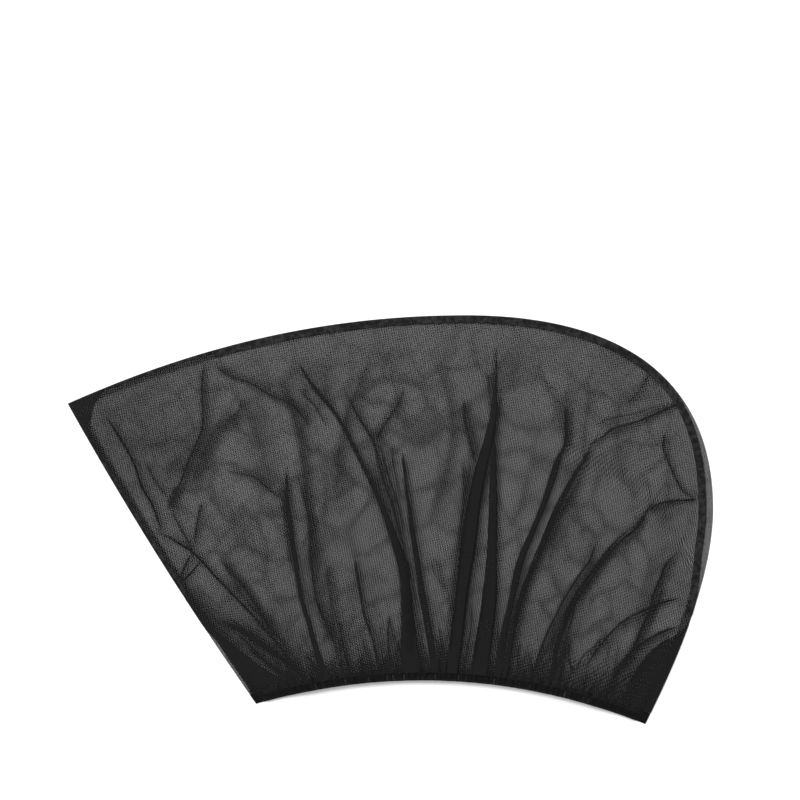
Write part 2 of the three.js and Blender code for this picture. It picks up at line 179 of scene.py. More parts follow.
def sharesOf(places):  # where a place seen from above is on the panel
    shares = []
    for place in np.asarray(places, float):
        off = np.hypot(*np.moveaxis(gridPlaces - place, -1, 0))
        i, k = np.unravel_index(off.argmin(), off.shape)
        uv = np.array([gridSteps[i], gridSteps[k]])
        for _ in range(4):
            here = panelPlace(*uv)
            nudge = 0.004
            jac = np.stack([(panelPlace(uv[0] + nudge, uv[1]) - here) / nudge,
                            (panelPlace(uv[0], uv[1] + nudge) - here) / nudge], -1)
            uv = np.clip(uv + np.linalg.solve(jac, place - here), -0.02, 1.02)
        shares.append(uv)
    return np.array(shares)


def rounded(points, steps=8):  # a smooth line through a few places
    points = np.asarray(points, float)
    ends = np.concatenate([[2 * points[0] - points[1]], points, [2 * points[-1] - points[-2]]])
    t = np.linspace(0, 1, steps, endpoint=False)[:, None]
    runs = []
    for a, b, c, d in zip(ends[:-3], ends[1:-2], ends[2:-1], ends[3:]):
        runs.append(0.5 * (2 * b + (c - a) * t + (2 * a - 5 * b + 4 * c - d) * t**2
                           + (3 * b - a - 3 * c + d) * t**3))
    return np.concatenate([*runs, points[-1:]])


def nearestOn(places, line):  # distance, signed distance and share of the way along a line
    best = np.full(places.shape[:-1], 1e9)
    side, share = np.zeros_like(best), np.zeros_like(best)
    run = 0
    for a, b in zip(line[:-1], line[1:]):
        way = b - a
        size = np.hypot(*way)
        t = np.clip(((places - a) @ way) / size**2, 0, 1)
        off = places - (a + t[..., None] * way)
        distance = np.hypot(off[..., 0], off[..., 1])
        closer = distance < best
        best = np.where(closer, distance, best)
        side = np.where(closer, np.sign(way[0] * off[..., 1] - way[1] * off[..., 0]) * distance, side)
        share = np.where(closer, run + t * size, share)
        run += size
    return best, side, share / run


seamLine = sewnEdge.at(np.linspace(0, sewnEdge.length, 90))


def awayFromSeams(places):
    distance = nearestOn(places, seamLine)[0]
    return smooth(distance, outline["seamWidth"], outline["seamWidth"] + outline["loftRun"])


def fromHemEnd(u):
    return np.clip(np.minimum(u, 1 - u), 0, 1) * hem.length


def mouthLevel(u):
    along = fromHemEnd(u)
    parted = smooth(along, 8, 18)
    opened = smooth(along, outline["elasticSetBack"] - 4, outline["elasticSetBack"] + outline["mouthRun"])
    return (outline["seamLevel"] + (outline["closedLevel"] - outline["seamLevel"]) * parted
            + (outline["openLevel"] - outline["closedLevel"]) * opened)


def gatherShare(u):
    start = outline["elasticSetBack"]
    return smooth(fromHemEnd(u), start - 16, start + outline["mouthRun"])


def loftedLevel(u, height, away):
    inner = outline["seamLevel"] + (outline["loftLevel"] - outline["seamLevel"]) * away
    rise = smooth(height, outline["casingHeight"], outline["casingHeight"] + outline["hemToLoft"])
    return mouthLevel(u) * (1 - rise) + inner * rise


print("outline ready: hem", round(hem.length), "mm, sewn edge", round(sewnEdge.length), "mm")


def gridPiece(name, places, cut=None, fields=None, finish=None, upward=True, closed=False):
    rows, columns = places.shape[:2]
    index = np.arange(rows * columns).reshape(rows, columns)
    if closed:
        index = np.concatenate([index, index[:1]])
    quads = np.stack([index[:-1, :-1], index[:-1, 1:], index[1:, 1:], index[1:, :-1]], -1).reshape(-1, 4)
    if not upward:
        quads = quads[:, ::-1]
    mesh = bpy.data.meshes.new(name)
    mesh.from_pydata((places.reshape(-1, 3) * millimetre).tolist(), [], quads.tolist())
    mesh.polygons.foreach_set("use_smooth", [True] * len(quads))
    if cut is not None:
        layer = mesh.uv_layers.new(name="cut")
        layer.data.foreach_set("uv", (cut.reshape(-1, 2)[quads.ravel()] * millimetre).ravel())
    for field, values in (fields or {}).items():
        layer = mesh.attributes.new(field, "FLOAT", "POINT")
        layer.data.foreach_set("value", values.ravel().astype(np.float32))
    piece = bpy.data.objects.new(name, mesh)
    bpy.context.scene.collection.objects.link(piece)
    if finish is not None:
        mesh.materials.append(finish)
    return piece


def thicken(piece, thickness):
    wall = piece.modifiers.new("thickness", "SOLIDIFY")
    wall.thickness = thickness * millimetre
    wall.offset = 0


def roughField(places, seed, octaves=3):  # soft noise at many places, sizes already divided in
    flat = places.reshape(-1, 2)
    values = [noise.fractal((x, y, seed), 0.9, 2.1, octaves) for x, y in flat.tolist()]
    return np.array(values).reshape(places.shape[:-1])


def crumple(places, seed):  # lines between soft facets, as in cloth that was packed folded
    flat = places.reshape(-1, 2)
    lines = []
    for x, y in flat.tolist():
        near = noise.voronoi((x, y, seed))[0]
        lines.append(near[1] - near[0])
    return np.array(lines).reshape(places.shape[:-1])


class Wire:  # one output of a node, used like a number
    def __init__(self, tree, socket=None):
        self.tree, self.socket = tree, socket

    def make(self, kind, settings=None, inputs=None, output=0):
        node = self.tree.nodes.new("ShaderNode" + kind)
        for key, value in (settings or {}).items():
            setattr(node, key, value)
        for key, value in (inputs or {}).items():
            if isinstance(value, Wire):
                self.tree.links.new(value.socket, node.inputs[key])
            else:
                node.inputs[key].default_value = value
        return Wire(self.tree, node.outputs[output])

    def maths(self, operation, first, second=0.0):
        return self.make("Math", {"operation": operation}, {0: first, 1: second})

    def __add__(self, other): return self.maths("ADD", self, other)
    def __sub__(self, other): return self.maths("SUBTRACT", self, other)
    def __mul__(self, other): return self.maths("MULTIPLY", self, other)
    def __truediv__(self, other): return self.maths("DIVIDE", self, other)
    def __mod__(self, other): return self.maths("FLOORED_MODULO", self, other)
    def __pow__(self, other): return self.maths("POWER", self, other)
    def __rsub__(self, other): return self.maths("SUBTRACT", other, self)
    def __rtruediv__(self, other): return self.maths("DIVIDE", other, self)
    def __abs__(self): return self.maths("ABSOLUTE", self)
    __radd__, __rmul__ = __add__, __mul__

    def clamped(self, low=0.0, high=1.0):
        return self.maths("MINIMUM", self.maths("MAXIMUM", self, low), high)

    def floor(self): return self.maths("FLOOR", self)
    def sine(self): return self.maths("SINE", self)

    def ramp(self, low, high):  # 0 at low, 1 at high, soft between
        return self.make(
            "MapRange", {"interpolation_type": "SMOOTHSTEP"},
            {"Value": self, "From Min": low, "From Max": high})

    def between(self, dark, pale):  # a colour mixed by this value
        return self.make("Mix", {"data_type": "RGBA"}, {0: self, 6: (*dark, 1), 7: (*pale, 1)}, 2)


def newFinish(name, roughness, sheen):
    finish = bpy.data.materials.new(name)
    finish.use_nodes = True
    tree = finish.node_tree
    body = tree.nodes["Principled BSDF"]
    body.inputs["Roughness"].default_value = roughness
    body.inputs["Specular IOR Level"].default_value = 0.06
    body.inputs["Sheen Weight"].default_value = sheen
    body.inputs["Sheen Roughness"].default_value = 0.5
    return finish, Wire(tree), body


def plug(wire, node, name):
    wire.tree.links.new(wire.socket, node.inputs[name])


def cutPlace(wire, turn=0.0):  # place on the flat cloth in metres, turned by some degrees
    place = wire.make("UVMap", {"uv_map": "cut"})
    across = wire.make("SeparateXYZ", inputs={0: place}, output=0)
    along = wire.make("SeparateXYZ", inputs={0: place}, output=1)
    c, s = math.cos(math.radians(turn)), math.sin(math.radians(turn))
    return across * c + along * s, along * c - across * s


def softNoise(wire, scale, detail=3.0, stretch=(1.0, 1.0, 1.0)):
    place = wire.make("TexCoord", output=3)
    place = wire.make("VectorMath", {"operation": "MULTIPLY"}, {0: place, 1: stretch})
    return wire.make("TexNoise", inputs={"Vector": place, "Scale": scale, "Detail": detail})


def field(wire, name):
    return wire.make("Attribute", {"attribute_name": name}, output=2)


def creaseLine(wire, kind):  # the painted dark line of the nearest crease, from the distance to it
    off = field(wire, kind + "Off")
    return (field(wire, kind + "Dark") * 1.45 * wire.maths("EXPONENT", 0 - off * off)).clamped()


meshKnit = {
    "wale": 0.00117, "course": 0.00136,  # one hole's pitch, across and along, in metres
    "holeWidth": 0.415, "holeHeight": 0.388,  # half sizes, as shares of a pitch
    "heavyWale": 0.15,  # how much narrower every second row of holes is
    "yarnDark": (0.0045, 0.0045, 0.0048), "yarnPale": (0.0105, 0.0105, 0.011),
    "cloudy": 0.03,  # uneven openness over the cloth
    "tiltPower": 1.5,  # how much the holes close where the cloth stands up
    "holeEdge": 4.5, "holeReach": 1.12, "bumpStrength": 0.35, "bumpDepth": 0.0003,
}


def meshFinish(name, turn, seed, openness=1.0):
    finish, wire, body = newFinish(name, 0.72, 0.02)
    across, along = cutPlace(wire, turn)
    along = along / meshKnit["course"]
    row = along.floor()
    across = across / meshKnit["wale"] + (row % 2.0) * 0.5
    wale = across.floor()
    # This value is partly denser cloth, as on the patches and overlocked edges, and partly painted shade along
    # creases, pleats, gathers and wrinkles; with the painted crease and pleat lines it closes the holes
    bunch = 1 - (1 - field(wire, "bunch")) * (1 - creaseLine(wire, "pleat")) * (1 - creaseLine(wire, "crease"))
    tilt = wire.make("NewGeometry", output=1)
    upright = abs(wire.make("SeparateXYZ", inputs={0: tilt}, output=2))
    cloudy = (softNoise(wire, 21 + seed, 4.0) - 0.5) * meshKnit["cloudy"] * 2
    heavy = 1 - ((wale + row * 0.5).floor() % 2.0) * meshKnit["heavyWale"]
    closing = (1 - bunch) * (upright ** meshKnit["tiltPower"]) * heavy * (1 + cloudy) * openness
    x = (across % 1.0 - 0.5) / meshKnit["holeWidth"]
    y = (along % 1.0 - 0.5) / meshKnit["holeHeight"]
    radius = (x * x + y * y) / (closing * closing + 0.0001)
    hole = ((meshKnit["holeReach"] - radius) * meshKnit["holeEdge"]).clamped()
    plug(1 - hole, body, "Alpha")
    relief = (radius / 3.0).clamped()
    lint = softNoise(wire, 260, 2.0)
    # the yarn is also painted darker where that painted shade lies
    shade = (relief * 0.6 + lint * 0.5 - bunch * 0.3).clamped()
    plug(shade.between(meshKnit["yarnDark"], meshKnit["yarnPale"]), body, "Base Color")
    plug((0.62 + lint * 0.25).clamped(), body, "Roughness")
    bump = wire.make("Bump", inputs={
        "Strength": meshKnit["bumpStrength"], "Distance": meshKnit["bumpDepth"],
        "Height": relief + (row * 3.1).sine() * 0.1})
    plug(bump, body, "Normal")
    return finish


denseKnit = {
    "pitch": 0.0011, "dark": (0.0016, 0.0016, 0.0018), "pale": (0.0085, 0.0085, 0.0088),
}


def denseFinish(name, roughness, shadeBy):
    finish, wire, body = newFinish(name, roughness, 0.02)
    across, along = cutPlace(wire, 12)
    along = along / denseKnit["pitch"]
    across = across / denseKnit["pitch"] + (along.floor() % 2.0) * 0.5
    x, y = across % 1.0 - 0.5, along % 1.0 - 0.5
    pit = ((x * x + y * y) * 5.0).clamped()
    bunch = field(wire, "bunch")
    worn = softNoise(wire, 150, 4.0)
    # darker where the painted shade of the gathers lies
    shade = (pit * 0.3 + worn * 1.1 - 0.1 - bunch * shadeBy).clamped()
    plug(shade.between(denseKnit["dark"], denseKnit["pale"]), body, "Base Color")
    plug((roughness - 0.12 + worn * 0.24).clamped(), body, "Roughness")
    bump = wire.make("Bump", inputs={"Strength": 0.5, "Distance": 0.0003, "Height": pit + worn * 0.4})
    plug(bump, body, "Normal")
    return finish


tapeKnit = {
    "rib": 0.0016, "rise": 0.55, "selvedge": 0.0013,
    "dark": (0.005, 0.005, 0.0053), "pale": (0.027, 0.027, 0.0275),
}


def tapeFinish(name, width):
    finish, wire, body = newFinish(name, 0.6, 0.03)
    run, across = cutPlace(wire)
    middle = abs(across - width / 2)
    twill = ((run + middle * tapeKnit["rise"]) * (2 * math.pi / tapeKnit["rib"])).sine() * 0.5 + 0.5
    edge = middle.ramp(width / 2 - tapeKnit["selvedge"], width / 2 - tapeKnit["selvedge"] * 0.4)
    worn = softNoise(wire, 190, 3.0)
    shade = (twill * 0.35 + (worn - 0.5) * 4.5 + edge * 0.25 + 0.1).clamped()
    plug(shade.between(tapeKnit["dark"], tapeKnit["pale"]), body, "Base Color")
    plug((0.48 + worn * 0.3).clamped(), body, "Roughness")
    bump = wire.make("Bump", inputs={"Strength": 0.6, "Distance": 0.0003, "Height": twill + edge})
    plug(bump, body, "Normal")
    return finish


elasticKnit = {"rib": 0.0013, "pick": 0.0011, "dark": (0.01, 0.01, 0.0105), "pale": (0.035, 0.035, 0.036)}


def elasticFinish():
    finish, wire, body = newFinish("elasticWeave", 0.65, 0.03)
    run, across = cutPlace(wire)
    ribs = (across * (2 * math.pi / elasticKnit["rib"])).sine() * 0.5 + 0.5
    picks = (run * (2 * math.pi / elasticKnit["pick"])).sine() * 0.5 + 0.5
    shade = (ribs * 0.6 + picks * 0.3).clamped()
    plug(shade.between(elasticKnit["dark"], elasticKnit["pale"]), body, "Base Color")
    plug((0.5 + picks * 0.25).clamped(), body, "Roughness")
    bump = wire.make("Bump", inputs={"Strength": 0.7, "Distance": 0.0003, "Height": ribs + picks * 0.5})
    plug(bump, body, "Normal")
    return finish


def threadFinish():
    finish, wire, body = newFinish("sewingThread", 0.5, 0.05)
    twist = softNoise(wire, 900, 2.0, (1.0, 1.6, 1.0))
    plug(twist.between((0.012, 0.012, 0.0125), (0.04, 0.04, 0.041)), body, "Base Color")
    plug((0.4 + twist * 0.3).clamped(), body, "Roughness")
    return finish


frontMesh = meshFinish("frontMeshCloth", -3.0, 0)
backMesh = meshFinish("backMeshCloth", 24.0, 5)
patchCloth = meshFinish("patchCloth", 47.0, 9, 0.8)
hemCloth = denseFinish("hemCloth", 0.78, 0.6)
tapeCloth = tapeFinish("tapeCloth", 0.010)
bindingCloth = tapeFinish("bindingCloth", 0.006)
elasticCloth = elasticFinish()
threadCloth = threadFinish()
print("materials ready")


photoScale = 1.28  # millimetres a pixel of the photograph
photoCentre = (390.5, 519.5)  # the pixel that lies at the outline's middle


def fromPhoto(places):  # places read off in pixels, as whole millimetres of the outline
    centreX, centreY = photoCentre
    return [(round((x - centreX) * photoScale), round((centreY - y) * photoScale)) for x, y in places]


# The front panel is one sheet, laid in pleats and creases.
# Each pleat has its two edges as places seen from above, from its upper end to the hem.
# over: 1 has the crisp edge on the right, -1 on the left; from: the place at which that edge begins;
# shade: painted shade over the pleat's band
pleats = [
    {"left": [(284, 345), (284, 401), (290, 430), (287, 470), (287.5, 505), (291, 535), (300, 592),
         (307.5, 620), (315, 648), (325, 680)],
     "right": [(284, 345), (284, 401), (290, 430), (288, 470), (290.5, 505), (295, 535), (303.5, 592),
         (311.5, 620), (319.5, 648), (330, 680)],
     "over": -1, "lift": 1.6, "shade": 0.25, "from": 3},
    {"left": [(290, 330), (297.5, 362), (314, 387.5), (337.5, 417.5), (360, 460), (380, 505), (394, 545),
         (400, 570), (402, 600), (402, 668)],
     "right": [(290, 330), (298, 362), (316, 387.5), (340, 417.5), (362.5, 460), (383, 505), (400, 545),
         (409, 570), (412, 600), (420, 668)],
     "over": -1, "lift": 2.2, "shade": 0.2, "from": 1},
    {"left": [(388, 320), (396, 410), (402, 450), (405, 490), (408, 512), (414, 560), (420, 600), (428, 650),
         (430, 668)],
     "right": [(388, 320), (396, 410), (402.5, 450), (407, 490), (410.5, 512), (417.5, 560), (424.5, 600),
         (434, 650), (437, 668)],
     "over": 1, "lift": 2, "shade": 0.35, "from": 2},
    {"left": [(496, 318), (494, 400), (484, 440), (474, 475), (466, 510), (460, 550), (455, 600), (449, 650),
         (447, 668)],
     "right": [(496, 318), (497, 400), (492, 440), (485, 475), (479, 510), (474, 550), (466, 600),
         (461, 650), (458, 668)],
     "over": 1, "lift": 2.6, "shade": 0.78, "from": 1},
    {"left": [(510, 318), (500, 400), (492, 440), (490, 475), (488, 510), (486.5, 550), (482, 600),
         (474, 650), (471, 668)],
     "right": [(510, 318), (501, 400), (494.5, 440), (495.5, 475), (496, 510), (495.5, 550), (495, 600),
         (490, 650), (487, 668)],
     "over": 1, "lift": 2.4, "shade": 0.62, "from": 2},
    {"left": [(578, 332), (565, 405), (565, 442), (556, 460), (549, 480), (541, 505), (530, 532), (516, 565),
         (509, 600), (500, 640), (495, 668)],
     "right": [(578, 332), (565.5, 405), (567, 442), (561, 460), (555, 480), (547, 505), (536, 532),
         (523, 565), (515, 600), (506, 640), (502, 668)],
     "over": -1, "lift": 1.8, "shade": 0.2, "from": 1},
    {"left": [(638, 365), (604, 425), (591.5, 445), (572.5, 475), (554, 510), (539, 547), (529, 571),
         (518.5, 600), (510.5, 630), (503, 668)],
     "right": [(638, 365), (604.5, 425), (592.5, 445), (575, 475), (557.5, 510), (542.5, 547), (532, 571),
         (522, 600), (514, 630), (507.5, 668)],
     "over": 1, "lift": 2, "shade": 0.3, "from": 2},
    {"left": [(694, 440), (668, 480), (647, 509), (633.5, 527), (620.5, 537.5), (610, 547.5), (600, 560),
         (591, 572.5), (574, 597), (564, 617), (553, 650), (549, 672)],
     "right": [(694, 440), (668.5, 480), (648, 509), (635.5, 527), (623, 537.5), (613, 547.5), (603, 560),
         (594.5, 572.5), (578, 597), (568, 617), (556.5, 650), (553, 672)],
     "over": 1, "lift": 2.2, "shade": 0.3, "from": 2},
]
for pleat in pleats:
    pleat["left"], pleat["right"] = fromPhoto(pleat["left"]), fromPhoto(pleat["right"])

# Softer creases: line, half width and rise of the ridge, half width and darkness of the crease's painted dark
# line (painted shade and folded cloth), and half width and darkness of the painted shade beside it, in
# millimetres and shares
creases = [
    ([(102, 412), (109, 420), (116, 432), (126, 447), (135, 465), (142, 487), (152, 505), (161, 527)], 11,
      1.8, 1.1, 0.72, 5, 0.25),
    ([(205, 357), (202.5, 385), (204, 420), (200, 437.5), (190, 460), (180, 485), (174, 500)], 12, 1.8, 1.1,
      0.6, 5.5, 0.28),
    ([(179, 484), (173, 497), (170, 508)], 8, 0.6, 3.5, 0.35, 7, 0.2),
    ([(145, 460), (155, 480), (167, 495)], 8, 0.8, 1.4, 0.22, 5, 0.12),
    ([(212, 359), (222, 371), (236, 378), (250, 383), (272, 395), (284, 401), (295, 407), (308, 423)], 12,
      1.4, 1.2, 0.35, 6, 0.3),
    ([(245, 407), (232, 417), (217, 430), (207, 447), (200, 465), (192, 487)], 16, 2, 1.5, 0.12, 8, 0.24),
    ([(225, 470), (245, 474), (257, 478), (270, 490), (283, 498)], 11, 1.2, 1.3, 0.3, 6, 0.22),
    ([(242, 398), (240, 410), (230, 417)], 8, 0.8, 1.4, 0.25, 5, 0.2),
    ([(298, 386), (306, 396), (316, 408), (326, 424)], 8, 0.8, 1.2, 0.25, 4, 0.15),
    ([(150, 531), (165, 535), (177, 542), (191, 551), (202, 561), (217, 577), (232, 592), (260, 622),
      (290, 657), (305, 677)], 14, 2, 1.1, 0.82, 4.5, 0.25),
    ([(203, 500), (198, 520), (195, 541)], 9, 1.2, 1.6, 0.35, 5, 0.2),
    ([(172, 510), (182, 530), (192, 548)], 9, 1, 1.3, 0.35, 4, 0.15),
    ([(191, 554), (186, 565), (180, 577)], 7, 0.8, 1, 0.5, 3, 0.2),
    ([(201, 561), (191, 573), (181, 582)], 7, 0.8, 1, 0.5, 3, 0.15),
    ([(217, 555), (232, 572), (245, 587), (255, 602), (265, 617), (273, 632)], 12, 1.4, 1.8, 0.3, 5, 0.35),
    ([(218, 620), (240, 630), (257, 640), (275, 652), (290, 662), (304, 677)], 13, 2.2, 3.4, 0.7, 8, 0.35),
    ([(246, 646), (267, 662), (285, 675), (299, 685)], 8, 1, 2, 0.5, 5, 0.25),
    ([(236, 632), (258, 652), (272, 668)], 7, 0.8, 1.2, 0.3, 4, 0.1),
    ([(292, 470), (300, 481), (306, 503), (310, 525), (311, 550), (313, 575), (317, 600), (326, 622),
      (338, 650)], 11, 1.4, 1.8, 0.35, 5.5, 0.28),
    ([(283, 480), (284, 505), (288, 540), (293, 566)], 9, 0.8, 2.5, 0.25, 7, 0.25),
    ([(342, 384), (350, 400), (358, 415), (368, 431), (375, 444), (378, 460), (385, 485), (393, 505),
      (397, 522), (405, 550)], 13, 1.8, 1.5, 0.5, 5, 0.22),
    ([(374, 444), (382, 430), (390, 417), (398, 405), (403, 392)], 11, 1.4, 1.6, 0.35, 6, 0.28),
    ([(380, 438), (383, 455), (390, 480), (398, 505), (404, 530)], 8, 0.8, 1.2, 0.32, 4, 0.1),
    ([(392, 442), (394, 465), (400, 495)], 8, 0.8, 1.2, 0.25, 4, 0.12),
    ([(464, 396), (465, 420), (470, 443), (474, 462)], 12, 1.6, 2, 0.3, 7, 0.4),
    ([(463, 455), (463, 500), (459, 545)], 9, 0.8, 2, 0.2, 5, 0.25),
    ([(497, 396), (495, 420), (492, 446)], 8, 1, 1.1, 0.6, 5, 0.25),
    ([(487, 372), (490, 396), (494, 412)], 10, 1, 1.4, 0.25, 6, 0.2),
    ([(339, 617), (344, 645), (351, 675)], 8, 1, 1.2, 0.5, 4, 0.2),
    ([(352, 548), (358, 575), (364, 612), (373, 640), (380, 672)], 9, 1.2, 1.3, 0.5, 5, 0.22),
    ([(326, 560), (331, 600), (334, 632)], 10, 1, 1.8, 0.15, 7, 0.2),
    ([(390, 612), (388, 640), (392, 670)], 8, 1, 1.4, 0.4, 4, 0.2),
    ([(472, 600), (470, 630), (463, 668)], 7, 0.8, 1.2, 0.35, 4, 0.15),
    ([(690, 396), (680, 402), (660, 412), (640, 420), (622, 426), (610, 430), (600, 438), (590, 444)], 12,
      1.6, 1.1, 0.72, 4.5, 0.25),
    ([(668, 402), (640, 412), (612, 418), (596, 424)], 9, 0.8, 1.2, 0.2, 4, 0.1),
    ([(566, 404), (566, 442)], 8, 1, 1.4, 0.3, 6, 0.3),
    ([(666, 427), (662, 445), (667, 460), (675, 477), (682, 490), (691, 496)], 9, 1.2, 1.3, 0.32, 5, 0.22),
    ([(700, 499), (685, 500), (670, 501), (657, 504), (646, 511)], 10, 1.4, 1.1, 0.7, 4, 0.25),
    ([(601, 535), (594, 547), (589, 560), (580, 572), (562, 600), (555, 615), (547, 632), (535, 662)], 10,
      1.6, 1.2, 0.66, 4.5, 0.28),
    ([(576, 600), (570, 622), (562, 648), (558, 668)], 7, 0.8, 1, 0.45, 3, 0.15),
    ([(685, 597), (670, 600), (655, 605), (640, 611), (627, 617), (617, 625), (607, 635), (595, 650),
      (586, 665)], 11, 1.8, 1.1, 0.78, 4.5, 0.25),
    ([(684, 547), (675, 555), (665, 565), (660, 577), (652, 595), (650, 607), (642, 625), (635, 642),
      (625, 660), (612, 675), (606, 692)], 11, 1.6, 1.8, 0.5, 6, 0.35),
    ([(663, 585), (656, 604), (650, 620)], 7, 0.8, 1.1, 0.4, 3, 0.15),
    ([(683, 626), (670, 629), (657, 634), (647, 640), (635, 648), (622, 660), (610, 678)], 10, 1.4, 1.1,
      0.7, 4.5, 0.3),
    ([(672, 634), (655, 650), (647, 660), (632, 677), (622, 692)], 9, 1.2, 1.6, 0.5, 6, 0.3),
    ([(604, 632), (594, 645), (583, 655), (576, 668)], 7, 0.8, 1.1, 0.35, 4, 0.15),
    ([(570, 640), (568, 655), (572, 672)], 6, 0.8, 1.1, 0.4, 3, 0.15),
    ([(520, 640), (517, 655), (518, 668)], 6, 0.6, 1.1, 0.35, 3, 0.15),
    ([(650, 372), (640, 390), (628, 402)], 9, 0.8, 1.2, 0.2, 5, 0.15),
    ([(430, 560), (436, 575), (446, 588)], 7, 0.4, 1.4, 0.15, 5, 0.1),
]
creases = [(fromPhoto(line), *shape) for line, *shape in creases]

# The crisp painted dark line along a pleat's edge, with painted shade beside it, in the terms of a crease
pleatEdge = {"width": 8, "rise": 0.3, "thin": 1.35, "shade": 0.9, "broad": 4.5, "broadShade": 0.24}

frontPanel = {
    "rows": 222, "pleatColumns": 17, "plainColumns": 290,
    "firstHeight": 10.4,  # where the panel goes into its casing's stitching
    "leastSpan": 2.6,  # half width that a pleat's columns have where it's flat
    "spanShare": 0.3,  # the same, as a share of the pleat's own half width
    "gatherPitch": 10.5, "ruffle": 1.9, "ruffleFade": 74, "streaks": 150, "hemShade": 0.4,
    "crumpleRise": 0.9, "seed": 7,
    "softSize": (34, 88), "facetSize": (46, 60), "fineFacet": 21,  # of the cloth's soft waves and wrinkles
    "weaveShift": 0.3,  # how far the weave follows the cloth that the pleats take up
    "liftRun": 14,  # how fast the cloth comes down beside a pleat
}

# Painted shade, or painted light where the depth is below zero: place, radius and depth
shadedAreas = [
    (-330, 120, 70, 0.1), (-250, 110, 60, 0.05), (-60, -135, 34, 0.12), (165, -130, 26, 0.1),
    (-20, 60, 30, 0.04), (-190, -185, 55, 0.14), (300, 60, 60, -0.14), (320, -60, 40, -0.04),
    (150, 20, 30, -0.1), (-90, 115, 35, -0.06), (330, -195, 32, 0.22), (212, 40, 16, -0.1),
]


sideShadePaint = {"depth": 0.5, "run": 8, "lowDepth": 0.62, "lowRun": 24, "lowHeights": (30, 150)}


def sideShade(place):  # painted shade along the slanting side, most where the hem begins
    inward = nearestOn(place, pointSide.points[::12])[0]
    narrow = sideShadePaint["depth"] * np.exp(-((inward / sideShadePaint["run"]) ** 2))
    low = smooth(-place[..., 1], *sideShadePaint["lowHeights"])
    return narrow + (sideShadePaint["lowDepth"] - narrow) * low * np.exp(-((inward / sideShadePaint["lowRun"]) ** 2))


creaseShape = {
    "reach": 3.2,  # widths within which a crease is worked out
    "steepShare": 0.35,  # width of the ridge on the crease's other side
    "skirtShift": 0.4, "lineFades": (4.5, 7.5), "endFades": 0.85, "endDepth": 0.5,
}


def creaseField(places, lines, away, start=0.2):  # rise, painted shade beside each crease, and what the painted crease lines need
    rise, dark = np.zeros(places.shape[:-1]), np.zeros(places.shape[:-1])
    best, off = np.full(places.shape[:-1], 1e9), np.full(places.shape[:-1], 9.0)
    crisp = np.zeros(places.shape[:-1])
    for line, width, lift, thin, shade, broad, broadShade in lines:
        line = rounded(line, 6)
        margin = creaseShape["reach"] * max(width, broad)
        near = np.all((places > line.min(0) - margin) & (places < line.max(0) + margin), axis=-1)
        distance, side, share = nearestOn(places[near], line)
        ending = creaseShape["endDepth"] * smooth(share, creaseShape["endFades"], 1)
        fade = smooth(share, 0, start) * (1 - ending)
        steep = creaseShape["steepShare"] * width
        slope = np.where(side > 0, np.exp(-distance / width), np.exp(-distance / steep))
        rise[near] += lift * slope * fade
        # the skirt is painted shade beside the crease
        beyond = distance - creaseShape["skirtShift"] * np.sign(side) * broad
        skirt = broadShade * np.exp(-((beyond / broad) ** 2)) * fade
        dark[near] = 1 - (1 - dark[near]) * (1 - skirt)
        closer = distance < best[near]
        best[near] = np.where(closer, distance, best[near])
        off[near] = np.where(closer, side / thin, off[near])
        # darkness of the painted line along the crease
        faded = shade * fade * (1 - smooth(distance, *creaseShape["lineFades"]))
        crisp[near] = np.where(closer, faded, crisp[near])
    return rise * away, dark, off, crisp


def pleatLines():
    found = []
    for pleat in pleats:
        edge = pleat["right" if pleat["over"] > 0 else "left"][pleat["from"]:]
        found.append((edge, *pleatEdge.values()))
    return found


gathers = {"ridge": 0.42, "shade": 0.5, "hemShadeRun": 20, "leastHemShade": 0.35, "bend": 0.0006}


def softWaves(u, height):
    wide, tall = frontPanel["softSize"]
    return roughField(np.stack([u * 900 / wide, height / tall], -1), 3.7)


def gathersAt(u, height, settings):  # ruffles, with painted shade in their hollows, a band of painted shade above the hem and streaks of painted shade that run up from the gathered hem
    random = np.random.default_rng(settings["seed"])
    count = int(hem.length / settings["gatherPitch"])
    knots = np.linspace(0, 1, count * 2 + 1)
    knots[1:-1] += random.uniform(-0.22, 0.22, count * 2 - 1) / count
    tall = random.uniform(0.35, 1.0, count * 2 + 1) * np.where(np.arange(count * 2 + 1) % 2, 1, -1)
    fade = np.interp(u, knots, random.uniform(0.35, 1.0, count * 2 + 1)) * settings["ruffleFade"]
    phase = np.interp(u, knots, np.arange(count * 2 + 1))
    wave = np.interp(u, knots, np.abs(tall)) * np.cos(math.pi * phase)
    above = np.maximum(height - outline["casingHeight"], 0)
    strength = gatherShare(u) * np.exp(-above / (gathers["ridge"] * fade))
    rise = settings["ruffle"] * wave * strength
    # painted shade in the ruffles' hollows
    dark = gathers["shade"] * np.clip(-wave, 0, 1) ** 2 * strength
    least = gathers["leastHemShade"]
    # a band of painted shade just above the casing
    hemShade = settings["hemShade"] * np.exp(-((above / gathers["hemShadeRun"]) ** 2))
    dark = 1 - (1 - dark) * (1 - hemShade * (least + (1 - least) * gatherShare(u)))
    # streaks of painted shade running up from the hem
    for _ in range(settings["streaks"]):
        place, reach = random.uniform(0.03, 0.99), 16 + 90 * random.random() ** 2.6
        bend = random.normal(0, gathers["bend"])
        thin, shade = random.uniform(1.0, 3.4), random.uniform(0.15, 0.8)
        off = (u - place - bend * height * (1 - height / 400)) * hem.length * (1 + height / 500)
        ending = 1 - smooth(height, 0.25 * reach, reach)
        dark = 1 - (1 - dark) * (1 - shade * np.exp(-(off / thin) ** 2) * ending)
    return rise, dark


def pleatEdges(pleat, v):
    found = []
    for key in ("left", "right"):
        shares = sharesOf(rounded(pleat[key], 5))
        order = np.argsort(shares[:, 1])
        found.append(np.interp(v, shares[order, 1], shares[order, 0]))
    return found


def rowRun(v):  # distance along a row of the panel
    return Path(panelPlace(gridSteps, np.full_like(gridSteps, v))).run


